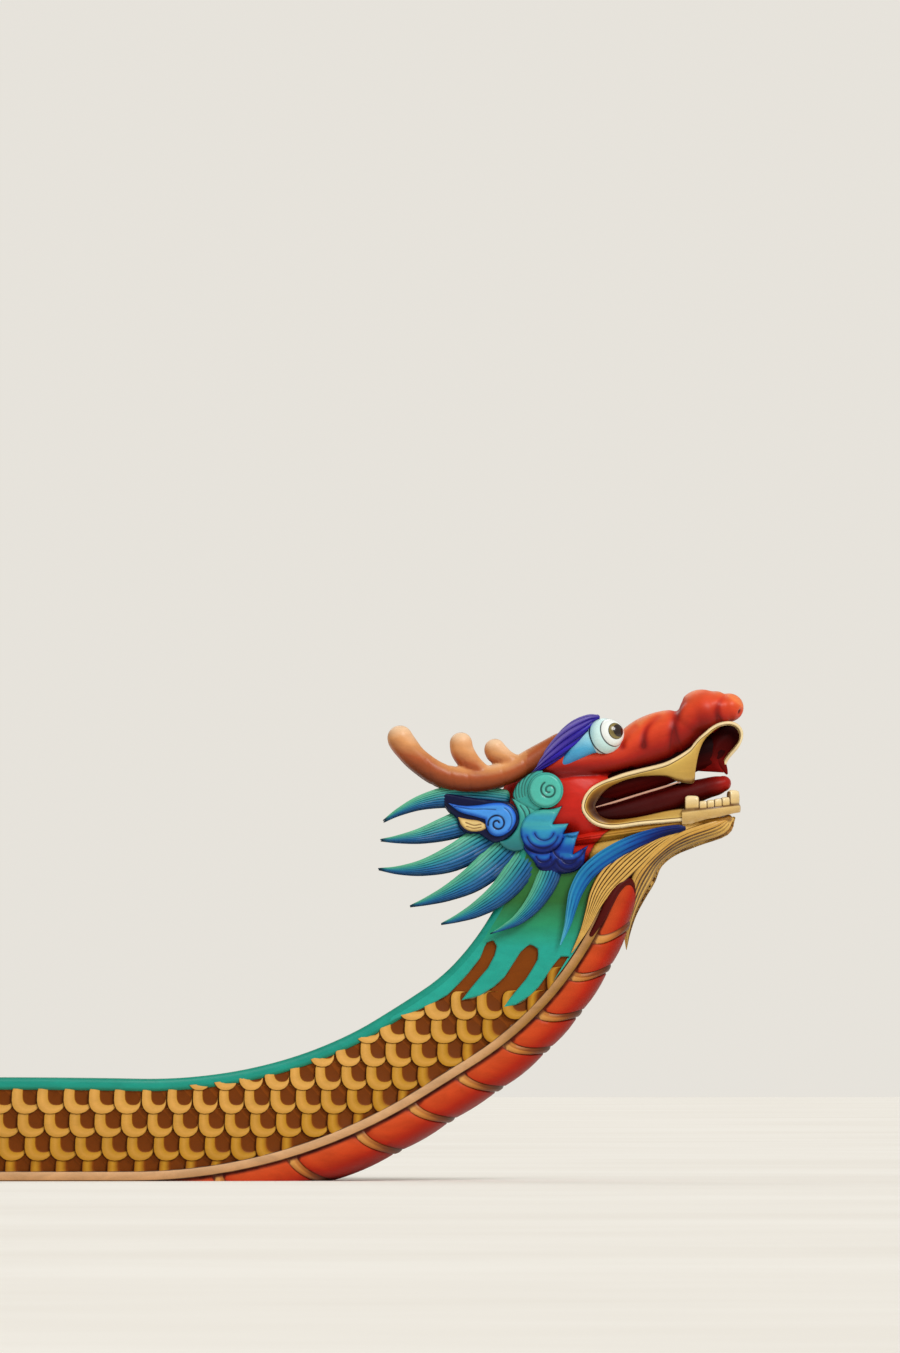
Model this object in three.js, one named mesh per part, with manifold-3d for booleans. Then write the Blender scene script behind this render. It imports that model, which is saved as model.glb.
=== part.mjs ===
// A wooden dragon boat, afloat: an open paddled hull about 12 m long. Its bow bends up into a carved
// dragon's neck and head, and its stern into the dragon's tail. Millimetres; +X towards the bow,
// +Y to port, +Z up. The origin is amidships, on the centreline, at the waterline.

import * as THREE from "three";
import { mergeVertices } from "three/addons/utils/BufferGeometryUtils.js";
import Module from "manifold-3d";

const wasm = await Module();
wasm.setup();

// Driving dimensions of the hull.
const GAP = 0.3; // left between pieces that touch
const CUT_GAP = 0.4; // how much larger a neighbour is made before it cuts a piece
const MOULDING_Z = 18; // middle of the moulding above the water, along the level hull
const MOULDING_HEIGHT = 36;
const MOULDING_PROUD = 14;
const PLANK = 26; // thickness of the side planks and of the belly
const RAIL_HEIGHT = 44;
const RAIL_WIDTH = 52; // inboard of the hull's edge
const RAIL_PROUD = 14;
const DECK_STEP = 6; // the decks lie this far below the top of the rails
const BULKHEAD = 24;
const NECK_JOINT = 4272; // where the hull's planks meet the neck's
const TAIL_JOINT = -4300;

// The moulding's line seen from the side, from amidships: level, then bending up.
const BOW_LINE = [
  { length: 4000 },
  { radius: 1945, turn: 32 },
  { length: 216 },
  { radius: 1242, turn: 40 },
];
const STERN_LINE = [
  { length: 4300 },
  { radius: 1400, turn: 38 },
  { length: 150 },
  { radius: 800, turn: 44 },
];

// Sections of the hull. Columns: distance from amidships along the moulding (negative is aft),
// half breadth at the rail, half breadth at the moulding as a share of that, height of the rail
// above the moulding, and depth of the belly below it.
const SECTIONS = [
  [-5985, 60, 0.92, 128, 44],
  [-5850, 76, 0.92, 150, 54],
  [-5690, 98, 0.92, 182, 66],
  [-5540, 118, 0.92, 208, 78],
  [-5378, 138, 0.91, 235, 90],
  [-5228, 160, 0.9, 257, 98],
  [-5030, 194, 0.89, 284, 108],
  [-4790, 238, 0.88, 312, 120],
  [-4544, 284, 0.87, 334, 131],
  [-4300, 328, 0.86, 348, 138],
  [-3900, 384, 0.85, 352, 142],
  [-3400, 440, 0.85, 353, 144],
  [-2800, 490, 0.84, 353, 144],
  [-2000, 530, 0.84, 353, 144],
  [-1000, 553, 0.84, 353, 144],
  [0, 560, 0.84, 353, 144],
  [1000, 555, 0.84, 353, 144],
  [1900, 534, 0.84, 353, 144],
  [2700, 494, 0.84, 353, 144],
  [3300, 448, 0.85, 353, 144],
  [3700, 408, 0.85, 352, 144],
  [4000, 374, 0.86, 348, 144],
  [4272, 336, 0.87, 340, 144],
  [4543, 292, 0.88, 328, 144],
  [4815, 246, 0.88, 316, 143],
  [5086, 202, 0.89, 308, 141],
  [5302, 174, 0.9, 310, 138],
  [5432, 160, 0.9, 316, 134],
  [5562, 149, 0.91, 326, 129],
  [5692, 141, 0.92, 336, 122],
  [5822, 135, 0.92, 345, 114],
  [5952, 130, 0.93, 351, 106],
  [6083, 126, 0.93, 356, 99],
  [6170, 124, 0.93, 360, 95],
];
const NECK_END = 6170;
const TAIL_END = -5985;

// Fittings inside the hull.
const SEAT_SPACING = 700;
const SEAT_ROWS = 9;
const FORE_SEAT_X = 1950;
const SEAT_HEIGHT = 215; // underside of the benches above the moulding
const SEAT_THICKNESS = 26;
const SEAT_DEPTH = 220;
const RIB_THICKNESS = 34;
const RIB_DEPTH = 38;
const KEELSON_WIDTH = 170;
const KEELSON_HEIGHT = 34;
const DRUM_X = 2680;
const DRUM_RADIUS = 232;
const DRUM_HEIGHT = 400;
const DRUMMER_X = 3230;

// The head is laid out from this point, behind the corner of the mouth.
const HEAD = new THREE.Vector3(5534, 0, 1404);

// The steering oar turns on this point, above its arm on the port side.
const OAR_PIVOT = new THREE.Vector3(-4180, 560, 512);
const OAR_SHAFT_RADIUS = 24;
const PIN_RADIUS = 8;

// Shapes and solids

const vector = (x, y, z) => new THREE.Vector3(x, y, z);
const radians = THREE.MathUtils.degToRad;

// A closed geometry as a solid. A geometry whose faces point inwards is turned round.
function solid(geometry) {
  const bare = geometry.clone();
  bare.deleteAttribute("normal");
  bare.deleteAttribute("uv");
  const merged = mergeVertices(bare, 1e-3);
  const points = new Float32Array(merged.getAttribute("position").array);
  const faces = new Uint32Array(merged.index.array);
  const make = () =>
    new wasm.Manifold(new wasm.Mesh({ numProp: 3, vertProperties: points, triVerts: faces }));
  const made = make();
  if (made.volume() > 0) return made;
  for (let i = 0; i < faces.length; i += 3) {
    [faces[i + 1], faces[i + 2]] = [faces[i + 2], faces[i + 1]];
  }
  return make();
}

function geometryOf(body) {
  const mesh = body.getMesh();
  const points = new Float32Array(mesh.numVert * 3);
  for (let i = 0; i < mesh.numVert; i++) {
    points.set(mesh.vertProperties.subarray(i * mesh.numProp, i * mesh.numProp + 3), i * 3);
  }
  return new THREE.BufferGeometry()
    .setAttribute("position", new THREE.BufferAttribute(points, 3))
    .setIndex(new THREE.BufferAttribute(mesh.triVerts, 1));
}

const union = (...bodies) => bodies.reduce((sum, body) => sum.add(body));
const cut = (body, ...tools) => tools.reduce((rest, tool) => rest.subtract(tool), body);

// The largest of the bodies that a cut leaves.
function largest(body) {
  return body.decompose().reduce((best, one) => (one.volume() > best.volume() ? one : best));
}

// The same body on the other side of the boat.
function mirrored(body) {
  return solid(geometryOf(body).applyMatrix4(new THREE.Matrix4().makeScale(1, -1, 1)));
}

function moved(body, x, y, z) {
  return solid(geometryOf(body).applyMatrix4(new THREE.Matrix4().makeTranslation(x, y, z)));
}

function box(lengthX, widthY, heightZ, x, y, z) {
  return solid(new THREE.BoxGeometry(lengthX, widthY, heightZ).translate(x, y, z));
}

// A turned body about a vertical axis. Profile rows: radius, height.
function turned(profile, x, y, z, sides = 24) {
  const points = profile.map(([radius, height]) => new THREE.Vector2(radius, height));
  return solid(new THREE.LatheGeometry(points, sides).rotateX(Math.PI / 2).translate(x, y, z));
}

// A body with round sections along a path. Rows: x, y, z of a section's middle, half its width
// across the path, and half its depth. Grow adds to every half width and depth and to both ends.
// Its faces are split alike to port and starboard, so a body on the centreline is symmetric.
function tube(rows, sides = 10, grow = 0) {
  const last = rows.length - 1;
  const middles = rows.map(([x, y, z]) => vector(x, y, z));
  const positions = [];
  let across = vector(0, 1, 0);
  rows.forEach((row, i) => {
    const along = middles[Math.min(i + 1, last)].clone().sub(middles[Math.max(i - 1, 0)]);
    along.normalize();
    across = across.clone().addScaledVector(along, -across.dot(along)).normalize();
    const deep = along.clone().cross(across);
    const middle = middles[i].clone();
    if (i === 0) middle.addScaledVector(along, -grow);
    if (i === last) middle.addScaledVector(along, grow);
    for (let k = 0; k < sides; k++) {
      const angle = (2 * Math.PI * (k + 0.5)) / sides;
      const point = middle.clone();
      point.addScaledVector(across, (row[3] + grow) * Math.cos(angle));
      point.addScaledVector(deep, (row[4] + grow) * Math.sin(angle));
      positions.push(...point.toArray());
    }
  });
  const faces = [];
  for (let i = 0; i < last; i++) {
    for (let k = 0; k < sides; k++) {
      const a = i * sides + k;
      const b = i * sides + ((k + 1) % sides);
      const port = Math.cos((2 * Math.PI * (k + 1)) / sides) > 0;
      if (port) faces.push(a, b, b + sides, a, b + sides, a + sides);
      else faces.push(a, b, a + sides, b, b + sides, a + sides);
    }
  }
  for (let k = 1; k < sides - 1; k++) {
    faces.push(0, k + 1, k);
    faces.push(last * sides, last * sides + k, last * sides + k + 1);
  }
  const geometry = new THREE.BufferGeometry();
  geometry.setAttribute("position", new THREE.Float32BufferAttribute(positions, 3));
  return solid(geometry.setIndex(faces));
}

// The hull's sections

// Where the moulding's line is at a distance from amidships, and how steeply it climbs there.
function lineAt(distance) {
  const side = distance < 0 ? -1 : 1;
  let left = Math.abs(distance);
  let [x, z, slope] = [0, MOULDING_Z, 0];
  for (const part of side < 0 ? STERN_LINE : BOW_LINE) {
    const turn = part.turn ? radians(part.turn) : 0;
    const length = part.turn ? part.radius * turn : part.length;
    const used = Math.min(left, length);
    if (part.turn) {
      const end = slope + used / part.radius;
      x += part.radius * (Math.sin(end) - Math.sin(slope));
      z += part.radius * (Math.cos(slope) - Math.cos(end));
      slope = end;
    } else {
      x += used * Math.cos(slope);
      z += used * Math.sin(slope);
    }
    left -= used;
    if (left <= 0) break;
  }
  return { x: side * x, z, lean: -side * slope };
}

const STATIONS = SECTIONS.map(([distance, half, share, rail, belly]) => ({
  distance,
  half,
  low: half * share,
  rail,
  belly,
  ...lineAt(distance),
}));

// An outline is a list of [y, height above the moulding's middle], made from a station. This is
// the ring of points that it makes at any distance, on the flat faces between the stations.
function ringAt(outline, distance) {
  let next = 1;
  while (next < STATIONS.length - 1 && STATIONS[next].distance < distance) next++;
  const [a, b] = [STATIONS[next - 1], STATIONS[next]];
  const share = (distance - a.distance) / (b.distance - a.distance);
  const points = (station) =>
    outline(station).map(([y, up]) =>
      vector(station.x + Math.sin(station.lean) * up, y, station.z + Math.cos(station.lean) * up),
    );
  const [from, to] = [points(a), points(b)];
  return from.map((point, i) => point.clone().lerp(to[i], share));
}

const flatPoint = ([y, up]) => new THREE.Vector2(y, up);

// A body between two distances, with the outline as its section. Each four-sided face is split
// from its lower corner aft to its higher corner forward, so that neighbours' faces agree.
function planked(outline, from, to) {
  const between = STATIONS.map((station) => station.distance);
  const stops = [from, ...between.filter((d) => d > from + 1 && d < to - 1), to];
  const clockwise = THREE.ShapeUtils.isClockWise(outline(STATIONS[15]).map(flatPoint));
  const wound = (station) => (clockwise ? outline(station).reverse() : outline(station));
  const rings = stops.map((distance) => ringAt(wound, distance));
  const flat = wound(STATIONS[15]).map(flatPoint);
  const count = flat.length;
  const rank = (i) => flat[i].y * 1e4 + Math.abs(flat[i].x);
  const faces = [];
  for (let i = 0; i + 1 < rings.length; i++) {
    for (let j = 0; j < count; j++) {
      const k = (j + 1) % count;
      const [a, b, c, d] = [i * count + j, i * count + k, (i + 1) * count + j, (i + 1) * count + k];
      if (rank(j) <= rank(k)) faces.push(a, b, d, a, d, c);
      else faces.push(a, b, c, b, d, c);
    }
  }
  const end = (rings.length - 1) * count;
  for (const [p, q, r] of THREE.ShapeUtils.triangulateShape(flat, [])) {
    faces.push(p, r, q, end + p, end + q, end + r);
  }
  const geometry = new THREE.BufferGeometry();
  const positions = rings.flat().flatMap((point) => point.toArray());
  geometry.setAttribute("position", new THREE.Float32BufferAttribute(positions, 3));
  return solid(geometry.setIndex(faces));
}

const MOULDING_TOP = MOULDING_HEIGHT / 2;
const PLANK_LOW = MOULDING_TOP + GAP;
const plankHigh = (station) => station.rail - RAIL_HEIGHT - GAP;
const BELLY_FULLNESS = 0.8; // below 1 squares the belly's round section
const BELLY_STEPS = 8;

// Points round the belly from port to starboard, for a half breadth and a depth.
function bellyArc(half, depth, top) {
  const points = [];
  for (let i = 0; i <= BELLY_STEPS; i++) {
    const angle = (Math.PI * i) / BELLY_STEPS;
    const y = half * Math.sign(Math.cos(angle)) * Math.abs(Math.cos(angle)) ** BELLY_FULLNESS;
    const up = top - (depth + top) * Math.sin(angle) ** BELLY_FULLNESS;
    points.push([Math.abs(y) < 1e-6 ? 0 : y, up]);
  }
  return points;
}

const bellyOutline = (station) => {
  const top = -MOULDING_TOP - GAP;
  const outside = bellyArc(station.low, station.belly, top);
  const inside = bellyArc(station.low - PLANK, station.belly - PLANK, top);
  return [...outside, ...inside.reverse()];
};

const sideOutline = (station) => [
  [station.low - PLANK, PLANK_LOW],
  [station.low, PLANK_LOW],
  [station.half, plankHigh(station)],
  [station.half - PLANK, plankHigh(station)],
];

const mouldingOutline = (station) => [
  [station.low - PLANK, -MOULDING_TOP],
  [station.low + MOULDING_PROUD * 0.6, -MOULDING_TOP],
  [station.low + MOULDING_PROUD, -MOULDING_TOP * 0.4],
  [station.low + MOULDING_PROUD, MOULDING_TOP * 0.4],
  [station.low + MOULDING_PROUD * 0.6, MOULDING_TOP],
  [station.low - PLANK, MOULDING_TOP],
];

const railOutline = (station) => [
  [station.half - RAIL_WIDTH, station.rail - RAIL_HEIGHT],
  [station.half + RAIL_PROUD * 0.5, station.rail - RAIL_HEIGHT],
  [station.half + RAIL_PROUD, station.rail - RAIL_HEIGHT * 0.7],
  [station.half + RAIL_PROUD, station.rail - RAIL_HEIGHT * 0.3],
  [station.half, station.rail],
  [station.half - RAIL_WIDTH, station.rail],
];

const deckOutline = (station) => {
  const y = station.half - RAIL_WIDTH - GAP;
  const low = station.rail - RAIL_HEIGHT;
  return [
    [-y, low],
    [y, low],
    [y, station.rail - DECK_STEP],
    [-y, station.rail - DECK_STEP],
  ];
};

// The room inside the hull, a gap away from its planks and taken in by a further inset.
const insideOutline = (inset) => (station) => {
  const wall = PLANK + GAP + inset;
  const belly = bellyArc(station.low - wall, station.belly - wall, -MOULDING_TOP - GAP);
  return [
    [station.half - wall, plankHigh(station)],
    [station.low - wall, PLANK_LOW],
    ...belly,
    [-(station.low - wall), PLANK_LOW],
    [-(station.half - wall), plankHigh(station)],
  ];
};

// The neck as one solid, to cut what is fitted to it.
const envelopeOutline = (grow) => (station) => {
  const proud = MOULDING_PROUD + grow;
  return [
    [station.half + RAIL_PROUD + grow, station.rail + grow],
    [station.half + RAIL_PROUD + grow, station.rail - RAIL_HEIGHT - grow],
    [station.half + grow, plankHigh(station) - grow],
    [station.low + grow, PLANK_LOW + grow],
    [station.low + proud, MOULDING_TOP + grow],
    [station.low + proud, -MOULDING_TOP - grow],
    ...bellyArc(station.low + grow, station.belly + grow, -MOULDING_TOP - grow),
    [-station.low - proud, -MOULDING_TOP - grow],
    [-station.low - proud, MOULDING_TOP + grow],
    [-station.low - grow, PLANK_LOW + grow],
    [-station.half - grow, plankHigh(station) - grow],
    [-station.half - RAIL_PROUD - grow, station.rail - RAIL_HEIGHT - grow],
    [-station.half - RAIL_PROUD - grow, station.rail + grow],
  ];
};

// The head's carvings. Rows are x, y, z from HEAD, half width and half depth. Each is made for
// the port side, and takes how much to grow by when it is used to cut a neighbour.

const SKULL = [
  [-158, 0, -10, 50, 60],
  [-130, 0, -24, 96, 125],
  [-60, 0, -36, 128, 182],
  [10, 0, -44, 138, 206],
  [70, 0, -70, 132, 176],
  [104, 0, -118, 116, 104],
  [128, 0, -146, 92, 50],
];
const MUZZLE = [
  [20, 0, 90, 120, 80],
  [90, 0, 92, 112, 72],
  [144, 0, 104, 106, 68],
  [224, 0, 133, 98, 72],
  [314, 0, 174, 90, 92],
  [400, 0, 205, 86, 88],
  [470, 0, 230, 84, 64],
  [534, 0, 264, 82, 46],
  [590, 0, 278, 66, 34],
];
// The two lobes of the nose. Columns: x, z, and half sizes along x, y and z.
const NOSE_LOBES = [
  [512, 286, 86, 106, 83],
  [614, 288, 48, 84, 48],
];
const PALATE = [
  [86, 0, -10, 56, 30],
  [144, 0, 4, 60, 54],
  [288, 0, 44, 62, 56],
  [400, 0, 84, 64, 58],
  [480, 0, 112, 72, 66],
  [540, 0, 128, 74, 78],
  [584, 0, 132, 54, 66],
  [606, 0, 128, 26, 44],
];
const LOWER_JAW = [
  [60, 0, -186, 104, 26],
  [136, 0, -170, 108, 34],
  [288, 0, -144, 98, 29],
  [440, 0, -124, 86, 25],
  [550, 0, -112, 76, 22],
  [606, 0, -104, 54, 18],
  [626, 0, -100, 30, 12],
];
const TONGUE = [
  [96, 0, -84, 50, 30],
  [144, 0, -90, 62, 44],
  [288, 0, -62, 66, 56],
  [432, 0, -20, 64, 50],
  [522, 0, 8, 54, 36],
  [580, 0, 22, 38, 24],
  [604, 0, 28, 16, 10],
];
// The gold rim of the mouth, from the lower jaw round the corner and over the raised lip.
const LIP = [
  [436, 90, -88, 10, 20],
  [360, 98, -104, 10, 15],
  [270, 104, -116, 10, 12],
  [170, 114, -122, 11, 15],
  [112, 122, -98, 12, 16],
  [98, 124, -58, 12, 17],
  [112, 120, -14, 12, 16],
  [156, 112, 8, 12, 16],
  [238, 104, 43, 12, 12],
  [310, 96, 58, 12, 14],
  [369, 92, 67, 12, 18],
  [425, 91, 80, 12, 34],
  [462, 90, 98, 11, 54],
  [484, 89, 112, 9, 58],
];
// The lip goes on from there round the raised snout, to the tip of the beak.
const SNOUT_RIM = [
  [468, 90, 104, 9, 9],
  [474, 91, 156, 9, 9],
  [502, 91, 196, 8, 8],
  [554, 86, 231, 8, 8],
  [612, 66, 239, 8, 8],
  [646, 46, 210, 8, 8],
  [648, 36, 168, 8, 8],
  [618, 22, 128, 9, 9],
  [601, 8, 94, 10, 10],
  [598, 0, 72, 10, 10],
];
const GUM = [
  [438, 84, -98, 12, 34],
  [520, 78, -86, 12, 34],
  [586, 58, -74, 12, 32],
  [620, 32, -68, 12, 32],
  [634, 0, -66, 12, 32],
];
// Teeth. Columns: x, y, z of the root, half width, height.
const TEETH = [
  [464, 82, -76, 17, 50],
  [504, 79, -70, 12, 32],
  [531, 75, -66, 12, 32],
  [557, 68, -62, 12, 32],
  [582, 58, -58, 12, 32],
  [618, 34, -54, 17, 50],
];
const BROW = [
  [-86, 104, 56, 10, 12],
  [-40, 110, 108, 24, 26],
  [18, 108, 164, 28, 34],
  [70, 98, 216, 26, 33],
  [112, 86, 252, 20, 24],
  [136, 80, 268, 9, 11],
];
const ANTLER = [
  [-4, 66, 176, 32, 32],
  [-90, 84, 118, 40, 40],
  [-176, 106, 68, 43, 43],
  [-298, 126, 36, 43, 43],
  [-420, 146, 50, 41, 41],
  [-510, 160, 108, 38, 38],
  [-562, 168, 178, 36, 36],
  [-582, 172, 222, 32, 32],
  [-588, 173, 240, 18, 18],
];
const TINES = [
  [
    [-262, 120, 44, 30, 30],
    [-318, 126, 92, 34, 34],
    [-352, 130, 142, 35, 35],
    [-362, 132, 186, 32, 32],
    [-363, 132, 206, 18, 18],
  ],
  [
    [-128, 98, 84, 26, 26],
    [-186, 104, 110, 30, 30],
    [-222, 108, 142, 33, 33],
    [-230, 110, 168, 31, 31],
    [-231, 110, 186, 17, 17],
  ],
];
const EYE = { x: 166, y: 84, z: 194, radius: 64 };
// Carved reliefs on the side of the head. Points are x, z; they stand between two values of y.
const CURL = { from: 112 };
const CURL_DISCS = [
  { x: -53, z: -2, radius: 64, to: 166 },
  { x: -106, z: -10, radius: 62, to: 152 },
];
const CHEEK = {
  from: 136,
  to: 172,
  outline: [
    [11, -65],
    [-25, -126],
    [33, -120],
    [8, -161],
    [71, -150],
    [51, -223],
    [99, -206],
    [88, -247],
    [69, -277],
    [30, -297],
    [-64, -294],
    [-97, -266],
    [-135, -217],
    [-179, -222],
    [-212, -203],
    [-229, -184],
    [-207, -134],
    [-149, -101],
    [-119, -74],
    [-75, -74],
  ],
};
const EAR = {
  from: 134,
  to: 172,
  outline: [
    [-444, -3],
    [-287, -32],
    [-229, -39],
    [-179, -48],
    [-152, -79],
    [-148, -123],
    [-174, -159],
    [-212, -186],
    [-237, -192],
    [-268, -178],
    [-290, -159],
    [-339, -157],
    [-364, -134],
    [-370, -106],
    [-405, -73],
  ],
};
const MANE = [
  [
    [-236, 100, -30, 16, 36],
    [-342, 134, -32, 20, 40],
    [-430, 172, -34, 17, 32],
    [-520, 198, -58, 11, 20],
    [-632, 214, -112, 3, 3],
  ],
  [
    [-226, 100, -74, 20, 40],
    [-318, 126, -108, 22, 48],
    [-410, 164, -140, 20, 40],
    [-510, 194, -170, 12, 22],
    [-642, 214, -178, 3, 3],
  ],
  [
    [-196, 98, -122, 20, 44],
    [-290, 128, -190, 24, 54],
    [-390, 166, -246, 21, 46],
    [-500, 192, -282, 14, 27],
    [-650, 208, -284, 3, 3],
  ],
  [
    [-150, 98, -160, 20, 44],
    [-222, 126, -244, 24, 54],
    [-310, 162, -318, 21, 46],
    [-410, 188, -372, 14, 27],
    [-536, 204, -416, 3, 3],
  ],
  [
    [-96, 100, -196, 20, 42],
    [-140, 134, -280, 23, 52],
    [-212, 158, -368, 20, 44],
    [-304, 182, -432, 14, 27],
    [-424, 198, -480, 3, 3],
  ],
  [
    [-24, 104, -214, 22, 38],
    [-40, 136, -306, 20, 42],
    [-86, 158, -396, 17, 34],
    [-152, 176, -466, 11, 21],
    [-248, 188, -516, 3, 3],
  ],
];
const MANE_ROOT = [
  [-216, 96, -40, 20, 44],
  [-204, 96, -92, 20, 44],
  [-168, 96, -142, 20, 44],
  [-104, 96, -186, 20, 44],
  [-24, 98, -214, 20, 36],
];
const THROAT = [
  [-20, 0, -232, 96, 50],
  [100, 0, -236, 108, 62],
  [220, 0, -204, 98, 50],
  [330, 0, -170, 86, 34],
  [420, 0, -150, 78, 22],
];
const BEARD = [
  [620, 0, -112, 32, 14],
  [594, 0, -130, 50, 24],
  [504, 0, -154, 70, 36],
  [418, 0, -184, 82, 46],
  [340, 0, -236, 94, 56],
  [268, 0, -296, 114, 78],
  [216, 0, -356, 132, 94],
];
const FRONT_LOCK = [
  [276, 0, -330, 84, 40],
  [284, 0, -384, 66, 34],
  [274, 0, -440, 48, 27],
  [256, 0, -500, 30, 18],
  [238, 0, -573, 4, 4],
];
const SIDE_LOCK = [
  [230, 104, -240, 26, 56],
  [176, 126, -318, 26, 62],
  [140, 140, -396, 21, 48],
  [112, 146, -476, 16, 30],
  [88, 145, -538, 11, 17],
  [50, 143, -588, 3, 4],
];
const JAW_STRAND = [
  [428, 92, -138, 8, 12],
  [360, 102, -155, 12, 19],
  [288, 112, -180, 15, 25],
  [216, 124, -212, 17, 27],
  [144, 138, -256, 18, 28],
  [90, 150, -306, 17, 28],
  [54, 158, -367, 16, 25],
  [40, 162, -425, 13, 19],
  [29, 164, -486, 9, 12],
  [0, 164, -558, 3, 4],
];

const HEAD_SIDES = 12;
const lowerJaw = (grow) => tube(LOWER_JAW, HEAD_SIDES, grow);

function ball(x, y, z, alongX, alongY, alongZ, sides = 14) {
  const shape = new THREE.SphereGeometry(1, sides, 10);
  return solid(shape.scale(alongX, alongY, alongZ).translate(x, y, z));
}

function headCore(grow) {
  const lobes = NOSE_LOBES.map(([x, z, alongX, alongY, alongZ]) =>
    ball(x, 0, z, alongX + grow, alongY + grow, alongZ + grow),
  );
  return union(tube(SKULL, HEAD_SIDES, grow), tube(MUZZLE, HEAD_SIDES, grow), ...lobes);
}

const eye = (grow) => ball(EYE.x, EYE.y, EYE.z, ...Array(3).fill(EYE.radius + grow));

// A plate with an outline of x, z between two values of y, grown on every side.
function relief(outline, from, to, grow) {
  const shape = new THREE.Shape(outline.map(([x, z]) => new THREE.Vector2(x, z)));
  const bevel = { bevelEnabled: grow > 0, bevelSize: grow, bevelThickness: grow, bevelSegments: 1 };
  const plate = new THREE.ExtrudeGeometry(shape, { depth: to - from, steps: 1, ...bevel });
  return solid(plate.rotateX(Math.PI / 2).translate(0, to, 0));
}

function disc(x, z, radius, sides) {
  const points = [];
  for (let k = 0; k < sides; k++) {
    const angle = (2 * Math.PI * (k + 0.5)) / sides;
    points.push([x + radius * Math.cos(angle), z + radius * Math.sin(angle)]);
  }
  return points;
}

const templeCurl = (grow) =>
  union(
    ...CURL_DISCS.map(({ x, z, radius, to }) =>
      relief(disc(x, z, radius, 14), CURL.from, to, grow),
    ),
  );
const cheekCloud = (grow) => relief(CHEEK.outline, CHEEK.from, CHEEK.to, grow);
const earPlate = (grow) => relief(EAR.outline, EAR.from, EAR.to, grow);

function bothSides(body) {
  return union(body, mirrored(body));
}

// Moves the neck's solid into the head's frame.
const neckFor = (grow) =>
  moved(planked(envelopeOutline(grow), 5302, NECK_END + grow), -HEAD.x, -HEAD.y, -HEAD.z);

const lipBand = (grow) => bothSides(union(tube(LIP, 6, grow), tube(SNOUT_RIM, 6, grow)));

function lowerTeeth() {
  const gum = tube(GUM, 6);
  const teeth = TEETH.map(([x, y, z, half, height]) =>
    tube(
      [
        [x, y, z, half * 0.75, half],
        [x, y, z + height * 0.6, half * 0.75, half],
        [x + 4, y, z + height, half * 0.4, half * 0.5],
      ],
      5,
    ),
  );
  return bothSides(union(gum, ...teeth));
}

// The named pieces

const COLOURS = {
  scale_gold: [0xb07a1c, 0.45],
  belly_red: [0xb2200e, 0.35],
  moulding_tan: [0xc89a5a, 0.45],
  rail_teal: [0x0f9a86, 0.4],
  wood: [0xa9713d, 0.6],
  face_red: [0xc9301a, 0.35],
  mouth_dark: [0x5a0a0a, 0.4],
  tongue_red: [0x8c1210, 0.35],
  lip_gold: [0xd8b45a, 0.35],
  tooth_ivory: [0xe6cf92, 0.4],
  eye_white: [0xf2f5f0, 0.2],
  brow_violet: [0x2d1f9c, 0.4],
  antler_copper: [0xc4733f, 0.4],
  curl_teal: [0x35a596, 0.4],
  cloud_blue: [0x1c5fb8, 0.4],
  mane_blue: [0x2384a8, 0.4],
  beard_gold: [0xc99a34, 0.45],
  strand_blue: [0x1558a8, 0.4],
  drum_red: [0xa81c12, 0.35],
  drum_skin: [0xe8dcc0, 0.7],
  iron: [0x4a4a4c, 0.5],
};
const MATERIALS = {};
for (const [name, [color, roughness]] of Object.entries(COLOURS)) {
  const metalness = name === "iron" ? 1 : 0;
  MATERIALS[name] = new THREE.MeshStandardMaterial({ name, color, roughness, metalness });
}

const boat = new THREE.Group();
const head = new THREE.Group();
head.position.copy(HEAD);
boat.add(head);

function add(group, name, body, material) {
  const mesh = new THREE.Mesh(geometryOf(body), MATERIALS[material]);
  mesh.name = name;
  group.add(mesh);
}

// One piece on each side, from the one on the port side.
function addPair(group, name, body, material) {
  add(group, `${name}_port`, body, material);
  add(group, `${name}_starboard`, mirrored(body), material);
}

// The skin of the hull: belly, side planks, mouldings and rails.
function addSkin() {
  const seams = [
    ["tail", TAIL_END, TAIL_JOINT - GAP / 2],
    ["hull", TAIL_JOINT + GAP / 2, NECK_JOINT - GAP / 2],
    ["neck", NECK_JOINT + GAP / 2, NECK_END],
  ];
  for (const [place, from, to] of seams) {
    add(boat, `${place}_belly`, planked(bellyOutline, from, to), "belly_red");
    addPair(boat, `${place}_side`, planked(sideOutline, from, to), "scale_gold");
  }
  addPair(boat, "moulding", planked(mouldingOutline, TAIL_END, NECK_END), "moulding_tan");
  addPair(boat, "rail", planked(railOutline, TAIL_END, NECK_END), "rail_teal");
}

const inside = (inset) => planked(insideOutline(inset), -4900, 4900);

// Cuts a body down to the room inside the hull.
const fitted = (body) => body.intersect(inside(0));

function addDecks() {
  add(boat, "fore_deck", planked(deckOutline, NECK_JOINT, NECK_END), "rail_teal");
  add(boat, "aft_deck", planked(deckOutline, TAIL_END, TAIL_JOINT), "rail_teal");
  const wall = (x) => fitted(box(BULKHEAD, 1400, 1400, x, 0, 300));
  add(boat, "fore_bulkhead", wall(lineAt(NECK_JOINT).x), "wood");
  add(boat, "aft_bulkhead", wall(lineAt(TAIL_JOINT).x), "wood");
}

const seatX = (row) => FORE_SEAT_X - row * SEAT_SPACING;
const SEAT_Z = MOULDING_Z + SEAT_HEIGHT;

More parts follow.
